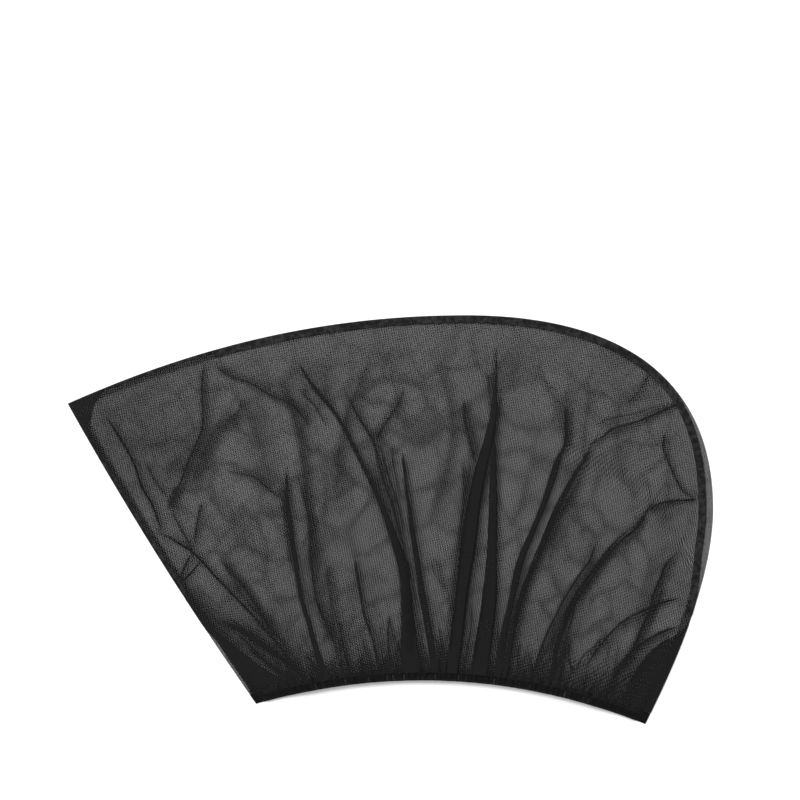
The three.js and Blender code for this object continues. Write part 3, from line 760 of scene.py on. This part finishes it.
def pleatedColumns(settings):  # share of the hem for each row and column, and what each pleat adds
    rowShare = np.linspace(0, 1, settings["rows"])
    rowLength = np.array([Path(panelPlace(gridSteps, v)).length for v in rowShare])
    anchors, folds = [np.zeros(settings["rows"])], []
    for pleat in pleats:
        left, right = pleatEdges(pleat, rowShare)
        middle, half = (left + right) / 2, np.maximum((right - left) / 2 * rowLength, 0)
        span = np.maximum(settings["leastSpan"], settings["spanShare"] * half)
        anchors += [middle - span / rowLength, middle + span / rowLength]
        folds.append((half, span))
    anchors = np.array([*anchors, np.ones(settings["rows"])])
    crossed = np.diff(anchors, axis=0).min()
    print("least room between pleats, as a share:", round(float(crossed), 4))
    anchors = np.maximum.accumulate(anchors, axis=0)
    room = np.diff(anchors, axis=0).mean(axis=1)[::2]
    counts = np.maximum(np.round(settings["plainColumns"] * room / room.sum()).astype(int), 2)
    u, shift, lift, shade = [], [], [], []
    for k, count in enumerate(counts):
        t = np.linspace(0, 1, count, endpoint=False)
        start, end = anchors[2 * k], anchors[2 * k + 1]
        u.append(start[:, None] + (end - start)[:, None] * t)
        for held in (shift, lift, shade):
            held.append(np.zeros((settings["rows"], count)))
        if k == len(pleats):
            break
        q = np.linspace(0, 1, settings["pleatColumns"], endpoint=False)[None, :]
        start, end = anchors[2 * k + 1], anchors[2 * k + 2]
        half, span = [value[:, None] for value in folds[k]]
        over = pleats[k]["over"]
        u.append(start[:, None] + (end - start)[:, None] * q)
        shift.append((half + 0.5 * span * smooth(half, 0, 3)) * np.sin(2 * math.pi * q) * smooth(half, 0, 0.8))
        lift.append(pleats[k]["lift"] * smooth(half, 0, 5) * (0.5 + 0.5 * over * np.cos(math.pi * q)))
        # Painted shade over the pleat's band, on top of its real folded layers, and darkest along its folded
        # edges
        edge = np.exp(-((np.cos(2 * math.pi * q) / 0.45) ** 2)) * smooth(half, 0.1, 1.2)
        shade.append(1 - (1 - pleats[k]["shade"] * smooth(half, 0.2, 2.5)) * (1 - 0.75 * edge))
    u = [*u, np.ones((settings["rows"], 1))]
    zero = np.zeros((settings["rows"], 1))
    shift, lift, shade = [*shift, zero], [*lift, zero], [*shade, zero]
    u, shift, lift, shade = [np.concatenate(parts, axis=1) for parts in (u, shift, lift, shade)]
    return rowShare, rowLength, u, shift, lift, shade, counts


def spreadLift(u, lift, counts, rowLength, settings):  # cloth stays high beside a pleat's upper edge
    total = lift.copy()
    first = 0
    for k, pleat in enumerate(pleats):
        first += counts[k]
        last = first + settings["pleatColumns"]
        for column, outward in ((first, -1), (last - 1, 1)):
            edge = lift[:, column][:, None]
            away = (u - u[:, column][:, None]) * outward * rowLength[:, None]
            total += np.where(away > 0, edge * np.exp(-away / settings["liftRun"]), 0)
        first = last
    return total


def frontSheet():
    settings = frontPanel
    rowShare, rowLength, u, shift, lift, shade, counts = pleatedColumns(settings)
    rise = panelRise(u)
    lowest = settings["firstHeight"] / rise
    v = lowest + (1 - lowest) * rowShare[:, None]
    height = v * rise
    lift = spreadLift(u, lift, counts, rowLength, settings) * (0.35 + 0.65 * smooth(height, 12, 60))
    shifted = u + shift / rowLength[:, None]
    place = panelPlace(shifted, v)
    rest = panelPlace(u, v)
    away = awayFromSeams(rest)
    gathered, streaks = gathersAt(u, height, settings)
    ridge, lines, creaseOff, creaseDark = creaseField(place, creases, away)
    _, beside, pleatOff, pleatDark = creaseField(place, pleatLines(), away, 0.07)
    shaded = 0
    for x, y, size, depth in shadedAreas:
        shaded = shaded + depth * np.exp(-((place[..., 0] - x) ** 2 + (place[..., 1] - y) ** 2) / size**2)
    soft = softWaves(u, height)
    wide, tall = settings["facetSize"]
    facets = np.stack([(rest[..., 0] + 9 * soft) / wide, (rest[..., 1] + 0.3 * rest[..., 0]) / tall], -1)
    net = crumple(facets, 1.3)
    fine = crumple(rest / settings["fineFacet"] + soft[..., None] * 0.35, 8.1)
    wrinkle = np.exp(-net / 0.07) + 0.5 * np.exp(-fine / 0.09)
    calm = smooth(roughField(rest / 150, 5.5, 2), -0.35, 0.45)
    wrinkle = wrinkle * (0.25 + 0.75 * calm)
    level = loftedLevel(shifted, height, away)
    level += away * (lift + ridge * smooth(height, 10, 50) + 0.9 * soft + settings["crumpleRise"] * wrinkle)
    level += gathered
    level = np.maximum(level, outline["seamLevel"] - 0.1)
    # How open the cloth stays: painted shade from the pleats, creases, gathers, wrinkle lines and slanting
    # side closes it, the listed areas add painted shade or light, and a slight tone follows the soft waves
    clear = (1 - shade * smooth(away, 0.05, 0.6)) * (1 - lines) * (1 - beside) * (1 - streaks)
    clear = clear * (1 - 0.13 * wrinkle * (0.3 + 0.7 * away)) - 0.04 * soft - shaded
    bunch = np.clip(1 - clear * (1 - sideShade(place)), 0, 0.985)
    fields = {
        "bunch": bunch, "creaseOff": creaseOff, "creaseDark": creaseDark,
        "pleatOff": pleatOff, "pleatDark": pleatDark}
    places = np.concatenate([place, level[..., None]], -1)
    step = np.linalg.norm(np.diff(places, axis=1), axis=-1)
    runs = np.stack([np.interp(shifted[k], gridSteps, rowRun(v[k].mean())) for k in range(len(u))])
    hidden = np.concatenate([np.zeros((len(u), 1)), np.cumsum(step - np.diff(runs, axis=1), axis=1)], 1)
    middle = counts[:4].sum() + 4 * settings["pleatColumns"]  # right of the darkest pleat
    hidden -= hidden[:, middle][:, None]
    flatCut, weave = [
        np.stack([place[..., 0] + share * hidden, place[..., 1]], -1) for share in (1, settings["weaveShift"])]
    return places, flatCut, weave, fields


places, frontFlat, weave, fields = frontSheet()
frontCloth = gridPiece("frontMeshPanel", places, weave, fields, frontMesh)
print("front panel:", places.shape[0], "by", places.shape[1], "places")


backPanel = {
    "rows": 150, "columns": 330, "firstHeight": 11.2, "gatherPitch": 9.5, "ruffle": 0.6, "ruffleFade": 66,
    "streaks": 80, "hemShade": 0.2, "edgeShade": 0.4, "lineShare": 0.35, "crumpleRise": 0.5, "seed": 23,
}
backCreases = [
    ([(-39, 96), (-8, 10), (22, -80), (32, -190)], 11, 1.0, 2.0, 0.3, 7, 0.25),
    ([(104, 96), (92, 0), (80, -100), (78, -190)], 10, 1.0, 2.0, 0.3, 7, 0.25),
    ([(262, 84), (206, -14), (160, -110), (143, -190)], 10, 1.0, 1.6, 0.35, 6, 0.2),
    ([(302, -10), (262, -60), (222, -120), (196, -190)], 10, 1.0, 1.6, 0.35, 6, 0.2),
    ([(-215, -70), (-170, -118), (-120, -180)], 10, 1.0, 1.6, 0.35, 6, 0.2),
    ([(-150, 190), (-120, 120), (-108, 40), (-96, -60)], 12, 1.0, 1.4, 0.2, 7, 0.2),
    ([(-20, 220), (-60, 120), (-70, 40)], 12, 1.0, 1.2, 0.2, 7, 0.12),
    ([(60, 200), (80, 120), (60, 20)], 12, 1.0, 1.2, 0.15, 8, 0.12),
]


def backSheet():
    settings = backPanel
    u = np.linspace(0, 1, settings["columns"])[None, :] * np.ones((settings["rows"], 1))
    rise = panelRise(u)
    lowest = settings["firstHeight"] / rise
    v = lowest + (1 - lowest) * np.linspace(0, 1, settings["rows"])[:, None]
    height = v * rise
    place = panelPlace(u, v, 0)
    away = awayFromSeams(place)
    gathered, streaks = gathersAt(u, height, settings)
    ridge, lines, creaseOff, creaseDark = creaseField(place, backCreases, away)
    soft = roughField(np.stack([u * 900 / 40, height / 95], -1), 9.2)
    net = crumple(place / 52 + soft[..., None] * 0.3, 4.4)
    wrinkle = np.exp(-net / 0.08)
    waves = 0.5 * ridge + settings["crumpleRise"] * wrinkle + 0.3 * np.maximum(soft, 0)
    level = outline["backLevel"] + away * waves
    level += np.maximum(gathered, 0)
    overlocked = settings["edgeShade"] * (1 - smooth(nearestOn(place, seamLine)[0], 9, 13))
    # Painted shade along the creases, streaks and wrinkle lines, and denser cloth at the overlocked edge,
    # close the holes
    bunch = np.clip(1 - (1 - lines) * (1 - 0.7 * streaks) * (1 - 0.12 * wrinkle) * (1 - overlocked), 0, 0.97)
    places = np.concatenate([place, level[..., None]], -1)
    creaseDark = settings["lineShare"] * creaseDark
    return places, place, {"bunch": bunch, "creaseOff": creaseOff, "creaseDark": creaseDark}


places, backFlat, fields = backSheet()
backCloth = gridPiece("backMeshPanel", places, backFlat, fields, backMesh, upward=False)
print("back panel:", places.shape[0], "by", places.shape[1], "places")


casing = {
    "columns": 420, "gatherPitch": 7.5, "ruffle": 1.3, "backRuffle": 0.45, "depth": 2.1, "thickness": 0.45,
    "edgeBelowPanel": 1.4, "unevenEdge": 3.4, "seed": 31,
}


def surfaceAt(u, height):  # the front panel's own level, without its pleats
    v = height / panelRise(u)
    place = panelPlace(u, v)
    away = awayFromSeams(place)
    ridge, lines, off, crisp = creaseField(place, creases, away)
    gathered, _ = gathersAt(u, height, frontPanel)
    waves = ridge * smooth(height, 10, 50) + 0.9 * softWaves(u, height)
    level = np.maximum(loftedLevel(u, height, away) + away * waves + gathered, outline["seamLevel"] - 0.1)
    return place, level, {"bunch": lines, "creaseOff": off, "creaseDark": crisp}


def hemCasing(name, side, outerLevel, ruffle, seed):
    random = np.random.default_rng(seed)
    u = np.linspace(0, 1, casing["columns"])
    count = int(hem.length / casing["gatherPitch"])
    knots = np.linspace(0, 1, count * 2 + 1)
    knots[1:-1] += random.uniform(-0.24, 0.24, count * 2 - 1) / count
    size = np.interp(u, knots, random.uniform(0.05, 1.0, count * 2 + 1))
    wave = size * np.cos(math.pi * np.interp(u, knots, np.arange(count * 2 + 1))) * gatherShare(u)
    turned = smooth(fromHemEnd(u), 8, 18)
    start = (outline["elasticSetBack"] + 4) / hem.length
    innerU = np.where(u > 0.5, 1 - np.maximum(1 - u, start + (1 - u) / 2), np.maximum(u, start + u / 2))
    top = outline["casingHeight"]
    uneven = casing["unevenEdge"] * np.maximum(roughField(np.stack([u * 95, 0 * u], -1), seed + 0.5, 3), 0)
    uneven = (uneven + 1.2 * np.abs(wave)) * gatherShare(u)
    stations = []  # height above the hem's edge, level below the outer face, share of the gathers
    for height, down, ruffled in (
        (top, 1, 0.2), (top * 0.75, 1, 0.5), (top * 0.5, 1, 0.7), (2.4, 1, 0.6), (1.0, 0.82, 0.8),
        (0.0, 0.5, 1.0), (0.6, 0.2, 1.0), (2.0, 0.04, 1.0), (top * 0.3, 0, 1.0), (top * 0.45, 0, 1.0),
        (top * 0.6, 0, 0.95), (top * 0.75, 0.02, 0.75), (top * 0.87, 0.12, 0.5), (top * 0.95, 0.3, 0.35),
        (top + 1.4, 0.3, 0.6),
    ):
        inner = down == 1
        here = innerU if inner else u
        level = outerLevel(here) - side * casing["depth"] * down * (1 if inner else turned)
        level = level + ruffle * wave * ruffled
        edge = 0.5 * wave * (1 - height / top) + (uneven * smooth(height, 0.8 * top, top) if not inner else 0)
        place = panelPlace(here, np.clip((height + edge) / panelRise(here), 0, 1), 0)
        if side < 0:
            level = np.maximum(level, 0.25)
        stations.append(np.concatenate([place, level[:, None]], -1))
    if side > 0:  # the outer ply's edge turns down onto the panel
        turnedIn = stations[-1].copy()
        below = surfaceAt(u, top + 1.4 + edge)[1] - casing["edgeBelowPanel"]
        turnedIn[:, 2] = np.clip(below, outline["seamLevel"], turnedIn[:, 2])
        stations.append(turnedIn)
    places = np.array(stations)
    run = np.cumsum(np.linalg.norm(np.diff(places, axis=0, prepend=places[:1]), axis=-1), axis=0)
    cut = np.stack([np.broadcast_to(u * hem.length * 1.25, run.shape), run], -1)
    # painted shade in the hollows of the gathers
    bunch = np.clip(0.5 - 0.5 * wave, 0, 1) * np.ones((len(stations), 1))
    piece = gridPiece(name, places, cut, {"bunch": bunch}, hemCloth, upward=side > 0)
    thicken(piece, casing["thickness"])
    return piece, places


frontCasing, frontCasingPlaces = hemCasing("frontHemCasing", 1, mouthLevel, casing["ruffle"], casing["seed"])
backCasing, _ = hemCasing(
    "backHemCasing", -1, lambda u: outline["backLevel"] + 0 * u, casing["backRuffle"], casing["seed"] + 1)

elastic = {"width": 7.6, "thickness": 0.9, "low": 1.6, "turnSteps": 10, "runSteps": 150}


def elasticLoop():
    start = outline["elasticSetBack"] / hem.length
    back = outline["backLevel"] + casing["depth"] / 2
    stations = []
    for u in np.linspace(start, 1 - start, elastic["runSteps"]):
        stations.append((u, float(mouthLevel(u)) - casing["depth"] / 2, 0.0))
    for end, out in ((1 - start, 1), (start, -1)):
        top = float(mouthLevel(end)) - casing["depth"] / 2
        radius = (top - back) / 2
        for k in range(1, elastic["turnSteps"]):
            angle = math.pi * (k if out > 0 else elastic["turnSteps"] - k) / elastic["turnSteps"]
            place = end + out * radius * math.sin(angle) / hem.length
            stations.append((place, back + radius + radius * math.cos(angle), out * angle))
        if out > 0:
            stations += [(u, back, math.pi) for u in np.linspace(1 - start, start, elastic["runSteps"])]
    rings, cuts, run = [], [], 0.0
    half = elastic["thickness"] / 2
    for k, (u, level, angle) in enumerate(stations):
        ring = []
        for height, off in ((0, 0.6), (0.4, 1), (elastic["width"] - 0.4, 1), (elastic["width"], 0.6),
                            (elastic["width"], -0.6), (elastic["width"] - 0.4, -1), (0.4, -1), (0, -0.6)):
            shifted = u + off * half * math.sin(angle) / hem.length
            place = panelPlace(shifted, (elastic["low"] + height) / panelRise(shifted), 0)
            ring.append((*place, level + off * half * math.cos(angle)))
        rings.append([*ring, ring[0]])
        cuts.append([(run, across) for across in (0, 0.4, 7.2, 7.6, 8.5, 8.9, 15.7, 16.1, 17)])
        run += 1.5
    rings, cuts = np.array(rings), np.array(cuts)
    return gridPiece("elasticBand", rings, cuts, None, elasticCloth, upward=False, closed=True)


elasticBand = elasticLoop()
print("casings and elastic ready")


trim = {
    "tapeWidth": 10, "tapeThickness": 0.7, "tapeStart": 198, "tapeEndAboveHem": 152,
    "sideWidth": 6, "topWidth": 4, "bindingThickness": 0.6, "bottom": 1.6,
    "pointPatchAlongTop": 62, "pointPatchAlongSide": 76,
    "hemPatchAlongSide": 166, "pointPatchShare": 0.0625, "hemPatchShare": 0.109375,
    "roundPatchOutside": 139, "roundPatchWidth": 39.7,
    "roundPatchShares": (0, 0.25, 0.5, 0.75, 0.92, 1),  # across it, from the side
    "roundPatchHeights": (1, 0.89, 0.79, 0.7, 0.6, 0.45),
    "hollow": 0.64, "patchFoot": 15.5, "patchLift": 0.8, "patchShade": 0.6, "clearance": 2,
    "section": [  # of a strip, as shares of its width and thickness
        (0.0, 0.35), (0.05, 0.9), (0.2, 1.0), (0.5, 0.9), (0.8, 1.0),
        (0.95, 0.9), (1.0, 0.35), (0.95, 0.0), (0.5, 0.0), (0.05, 0.0)],
}


def sewnStrip(name, start, end, width, thickness, insetAt, finish, pucker, seed):
    steps = max(int((end - start) / 2.5), 8)
    along = np.linspace(start, end, steps)
    wobble = roughField(np.stack([along / 17, np.zeros(steps)], -1), seed, 2) * pucker
    section = [*trim["section"], trim["section"][0]]
    rings = []
    for across, up in section:
        place = insideEdge(along, insetAt(along) + across * width)
        level = trim["bottom"] + up * thickness + np.maximum(wobble, -0.1) * (0.4 + 0.6 * across)
        rings.append(np.concatenate([place, level[:, None]], -1))
    places = np.array(rings)
    ends = [np.repeat(places[:, k].mean(0)[None, None], len(places), axis=0) for k in (0, -1)]
    places = np.concatenate([ends[0], places, ends[1]], axis=1)
    run = np.concatenate([[along[0]], along, [along[-1]]])
    across = np.array([share for share, _ in section]) * width
    cut = np.stack(np.broadcast_arrays(run[None, :], across[:, None]), -1)
    return gridPiece(name, places, cut, None, finish, upward=False)


tapeFrom = pointSide.length + trim["tapeStart"]
tapeTo = sewnEdge.length - trim["tapeEndAboveHem"]
seamTape = sewnStrip(
    "seamTape", tapeFrom, tapeTo, trim["tapeWidth"], trim["tapeThickness"], freeAllowance, tapeCloth, 0.5, 2.2)
sideFrom = trim["hemPatchAlongSide"] + trim["clearance"]
sideTo = pointSide.length - trim["pointPatchAlongSide"] - trim["clearance"]
topFrom = pointSide.length + trim["pointPatchAlongTop"] + trim["clearance"]
sideBinding = sewnStrip(
    "pointSideBinding", sideFrom, sideTo,
    trim["sideWidth"], trim["bindingThickness"], lambda along: 0 * along, bindingCloth, 0.4, 6.1)
topBinding = sewnStrip(
    "pointTopBinding", topFrom, tapeFrom - trim["clearance"],
    trim["topWidth"], trim["bindingThickness"], lambda along: 0 * along, bindingCloth, 0.4, 7.7)


def hollowed(share):
    return (1 - np.clip(share, 0, 1) ** trim["hollow"]) ** (1 / trim["hollow"])


def sewnPatch(name, u, low, high, thinnest):  # thinnest: the column at the patch's inner end
    t = np.linspace(0, 1, 46)[:, None]
    height = low + (high - low) * t
    u = u[None, :] + 0 * t
    place, level, fields = surfaceAt(u, height)
    level = level + trim["patchLift"]
    inner = abs(u - u[0, thinnest]) / np.ptp(u)
    room = np.minimum(inner * 2.2, t / 0.3 if low[0] > high[-1] * 0.4 else (1 - t) / 0.3)
    fields["bunch"] = 1 - (1 - fields["bunch"]) * (1 - trim["patchShade"] * smooth(room, 0, 1))
    places = np.concatenate([place, level[..., None]], -1)
    return gridPiece(name, places, place, fields, patchCloth), places


u = np.linspace(0, trim["pointPatchShare"], 40)
reach = np.maximum(trim["pointPatchAlongSide"] * hollowed(u / trim["pointPatchShare"]), 3)
pointPatch, pointPatchPlaces = sewnPatch("pointPatch", u, panelRise(u) - reach, panelRise(u) - 0.2, -1)
u = np.linspace(0, trim["hemPatchShare"], 46)
reach = (trim["hemPatchAlongSide"] - trim["patchFoot"]) * hollowed(u / trim["hemPatchShare"])
foot = trim["patchFoot"] + 0 * u
hemPatch, hemPatchPlaces = sewnPatch("hemPointPatch", u, foot, trim["patchFoot"] + np.maximum(reach, 6), -1)
roundShare = trim["roundPatchWidth"] / hem.length
u = np.linspace(1 - roundShare, 1, 40)
reach = np.interp((1 - u) / roundShare, trim["roundPatchShares"], trim["roundPatchHeights"])
foot = trim["patchFoot"] + 0 * u
roundPatch, roundPatchPlaces = sewnPatch("hemRoundPatch", u, foot, trim["roundPatchOutside"] * reach, 0)
print("tape, bindings and patches ready")


stitch = {
    "pitch": 3.1, "hemPitch": 3.6, "length": 2.3, "thickness": 0.42, "wander": 0.18, "seed": 11,
    "tapeInsets": (1.9, 8.1), "sideInset": 4.6, "topInset": 2.4,  # from each strip's outer edge
    "casingRows": (12, 7),
}


def stitchNodes(finish):
    tree = bpy.data.node_groups.new("stitchRow", "GeometryNodeTree")
    plugs = {}
    tree.interface.new_socket("Geometry", in_out="INPUT", socket_type="NodeSocketGeometry")
    for name in ("Pitch", "Length", "Thickness", "Wander"):
        plugs[name] = tree.interface.new_socket(name, in_out="INPUT", socket_type="NodeSocketFloat").identifier
    plugs["Seed"] = tree.interface.new_socket("Seed", in_out="INPUT", socket_type="NodeSocketInt").identifier
    tree.interface.new_socket("Geometry", in_out="OUTPUT", socket_type="NodeSocketGeometry")
    nodes, links = tree.nodes, tree.links
    given, made = nodes.new("NodeGroupInput"), nodes.new("NodeGroupOutput")
    line = nodes.new("GeometryNodeMeshToCurve")
    spots = nodes.new("GeometryNodeCurveToPoints")
    spots.mode = "LENGTH"
    turned = nodes.new("FunctionNodeAlignRotationToVector")
    turned.axis = "X"
    grain = nodes.new("GeometryNodeMeshUVSphere")
    grain.inputs["Segments"].default_value = 6
    grain.inputs["Rings"].default_value = 4
    grain.inputs["Radius"].default_value = 0.5
    shape = nodes.new("ShaderNodeCombineXYZ")
    sized = nodes.new("GeometryNodeTransform")
    placed = nodes.new("GeometryNodeInstanceOnPoints")
    drift = nodes.new("FunctionNodeRandomValue")
    drift.data_type = "FLOAT_VECTOR"
    spread = nodes.new("ShaderNodeVectorMath")
    spread.operation = "SCALE"
    drift.inputs["Min"].default_value = (-1, -1, -0.1)
    drift.inputs["Max"].default_value = (1, 1, 0.1)
    moved = nodes.new("GeometryNodeSetPosition")
    real, painted = nodes.new("GeometryNodeRealizeInstances"), nodes.new("GeometryNodeSetMaterial")
    painted.inputs["Material"].default_value = finish
    for start, end in (
        (given.outputs["Geometry"], line.inputs["Mesh"]),
        (line.outputs["Curve"], spots.inputs["Curve"]), (given.outputs["Pitch"], spots.inputs["Length"]),
        (spots.outputs["Points"], moved.inputs["Geometry"]),
        (given.outputs["Seed"], drift.inputs["Seed"]), (drift.outputs["Value"], spread.inputs[0]),
        (given.outputs["Wander"], spread.inputs["Scale"]), (spread.outputs["Vector"], moved.inputs["Offset"]),
        (moved.outputs["Geometry"], placed.inputs["Points"]),
        (spots.outputs["Tangent"], turned.inputs["Vector"]),
        (turned.outputs["Rotation"], placed.inputs["Rotation"]),
        (given.outputs["Length"], shape.inputs["X"]), (given.outputs["Thickness"], shape.inputs["Y"]),
        (given.outputs["Thickness"], shape.inputs["Z"]), (grain.outputs["Mesh"], sized.inputs["Geometry"]),
        (shape.outputs["Vector"], sized.inputs["Scale"]),
        (sized.outputs["Geometry"], placed.inputs["Instance"]),
        (placed.outputs["Instances"], real.inputs["Geometry"]),
        (real.outputs["Geometry"], painted.inputs["Geometry"]),
        (painted.outputs["Geometry"], made.inputs["Geometry"]),
    ):
        links.new(start, end)
    return tree, plugs


stitchTree, stitchPlugs = stitchNodes(threadCloth)


def sewnRows(name, rows, pitch=stitch["pitch"]):
    vertices, edges = [], []
    for row in rows:
        first = len(vertices)
        vertices += (np.asarray(row) * millimetre).tolist()
        edges += [(k, k + 1) for k in range(first, len(vertices) - 1)]
    path = bpy.data.meshes.new(name + "Line")
    path.from_pydata(vertices, edges, [])
    holder = bpy.data.objects.new(name + "Line", path)
    bpy.context.scene.collection.objects.link(holder)
    rowMaker = holder.modifiers.new("stitches", "NODES")
    rowMaker.node_group = stitchTree
    rowMaker[stitchPlugs["Pitch"]] = pitch * millimetre
    for key in ("Length", "Thickness", "Wander"):
        rowMaker[stitchPlugs[key]] = stitch[key.lower()] * millimetre
    rowMaker[stitchPlugs["Seed"]] = stitch["seed"]
    evaluated = holder.evaluated_get(bpy.context.evaluated_depsgraph_get())
    mesh = bpy.data.meshes.new_from_object(evaluated)
    holder.modifiers.remove(rowMaker)
    bpy.data.objects.remove(holder)
    mesh.name = name
    mesh.polygons.foreach_set("use_smooth", [True] * len(mesh.polygons))
    piece = bpy.data.objects.new(name, mesh)
    bpy.context.scene.collection.objects.link(piece)
    return piece


def stripRow(start, end, inset, level):
    along = np.arange(start, end, 2.0)
    place = insideEdge(along, freeAllowance(along) + inset)
    return np.concatenate([place, np.full((len(along), 1), level)], -1)


def lifted(row, rise=0.42):
    return np.asarray(row) + [0, 0, rise]


tapeTop = trim["bottom"] + trim["tapeThickness"] + 0.1
bindingTop = trim["bottom"] + trim["bindingThickness"] + 0.1
tapeStitches = sewnRows("tapeStitches", [
    stripRow(tapeFrom + 2, tapeTo - 2, inset, tapeTop) for inset in stitch["tapeInsets"]])
bindingStitches = sewnRows("bindingStitches", [
    stripRow(sideFrom + 2, sideTo - 2, stitch["sideInset"], bindingTop),
    stripRow(topFrom + 2, tapeFrom - 4, stitch["topInset"], bindingTop)])
patchStitches = sewnRows("patchStitches", [
    lifted(pointPatchPlaces[2, :-2]), lifted(hemPatchPlaces[-3, :-2]), lifted(roundPatchPlaces[-2, 1:-1]),
    lifted(roundPatchPlaces[2:-2, 2]), lifted(hemPatchPlaces[2:-4, 2]), lifted(pointPatchPlaces[3:-2, 2])])
hemStitches = sewnRows("hemStitches", [
    lifted(frontCasingPlaces[row], 0.35)[8:-8] for row in stitch["casingRows"]], stitch["hemPitch"])
threads = [tapeStitches, bindingStitches, patchStitches, hemStitches]
print("stitches ready:", sum(len(piece.data.polygons) for piece in threads), "faces")


# What each piece stands for in the solids
roles = (
    (frontCloth, "mesh_cloth", ("front_panel",)), (frontCasing, "mesh_cloth", ("front_panel",)),
    (backCloth, "mesh_cloth", ("back_panel",)), (backCasing, "mesh_cloth", ("back_panel",)),
    (elasticBand, "elastic_weave", ("elastic_band",)), (seamTape, "tape_weave", ("seam_tape",)),
    (sideBinding, "tape_weave", ("point_side_binding",)), (topBinding, "tape_weave", ("point_top_binding",)),
    (pointPatch, "dense_cloth", ("point_patch",)), (hemPatch, "dense_cloth", ("hem_point_patch",)),
    (roundPatch, "dense_cloth", ("hem_round_patch",)),
    *[(piece, "thread", ()) for piece in threads],
)
for piece, slotName, nodes in roles:
    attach(piece, "root")
    if nodes:
        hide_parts(*nodes)


def flatSize(cut):  # width, length and area of the cut cloth, in metres
    width, length = (cut.reshape(-1, 2).max(0) - cut.reshape(-1, 2).min(0)) * millimetre
    a, b, c, d = cut[:-1, :-1], cut[:-1, 1:], cut[1:, 1:], cut[1:, :-1]
    across, up = c - a, d - b
    area = np.abs(across[..., 0] * up[..., 1] - across[..., 1] * up[..., 0]).sum() / 2 * millimetre**2
    return (float(width), float(length)), float(area)


frontSize, frontArea = flatSize(frontFlat)
backSize, backArea = flatSize(backFlat)
print("flat sizes:", frontSize, round(frontArea, 3), backSize, round(backArea, 3))


# Floor, light and camera, in metres
studio = {
    "floorSize": 9.0, "floorTone": 0.93, "floorGlow": 0.08, "sky": 0.55,
    "lampPower": 100, "lampSize": 1.6, "lampPlace": (-0.9, 1.5, 2.6),
    "photoWidth": 1.024, "centre": (0.0122, 0.153), "lens": 85, "sensor": 36,
}


def whiteFloor():
    half = studio["floorSize"] / 2
    mesh = bpy.data.meshes.new("floor")
    corners = [(-half, -half, 0), (half, -half, 0), (half, half, 0), (-half, half, 0)]
    mesh.from_pydata(corners, [], [(0, 1, 2, 3)])
    finish = bpy.data.materials.new("floorPaper")
    finish.use_nodes = True
    tree = finish.node_tree
    body = tree.nodes["Principled BSDF"]
    body.inputs["Base Color"].default_value = (*[studio["floorTone"]] * 3, 1)
    body.inputs["Roughness"].default_value = 1
    body.inputs["Specular IOR Level"].default_value = 0
    body.inputs["Emission Color"].default_value = (1, 1, 1, 1)
    wire = Wire(tree)
    plug(wire.make("LightPath", output=0) * studio["floorGlow"], body, "Emission Strength")
    mesh.materials.append(finish)
    floor = bpy.data.objects.new("floor", mesh)
    bpy.context.scene.collection.objects.link(floor)


def lightAndCamera():
    scene = bpy.context.scene
    world = scene.world or bpy.data.worlds.new("studio")
    scene.world = world
    world.use_nodes = True
    tree = world.node_tree
    wire = Wire(tree)
    seen = wire.make("LightPath", output=0)
    seen = (seen + wire.make("LightPath", output=3) + wire.make("LightPath", output=6)).clamped()
    backdrop = tree.nodes["Background"]
    backdrop.inputs["Color"].default_value = (1, 1, 1, 1)
    plug(seen * (1 - studio["sky"]) + studio["sky"], backdrop, "Strength")
    lamp = bpy.data.lights.new("softLamp", "AREA")
    lamp.energy, lamp.size = studio["lampPower"], studio["lampSize"]
    holder = bpy.data.objects.new("softLamp", lamp)
    holder.location = studio["lampPlace"]
    holder.rotation_euler = (Vector((0, 0, 0)) - holder.location).to_track_quat("-Z", "Y").to_euler()
    scene.collection.objects.link(holder)
    camera = bpy.data.cameras.new("camera")
    camera.lens, camera.sensor_width = studio["lens"], studio["sensor"]
    holder = bpy.data.objects.new("camera", camera)
    distance = studio["photoWidth"] * studio["lens"] / studio["sensor"]
    holder.location = (*studio["centre"], distance)
    scene.collection.objects.link(holder)
    scene.camera = holder
    scene.view_settings.view_transform = "Standard"


whiteFloor()
lightAndCamera()
print("stage ready")
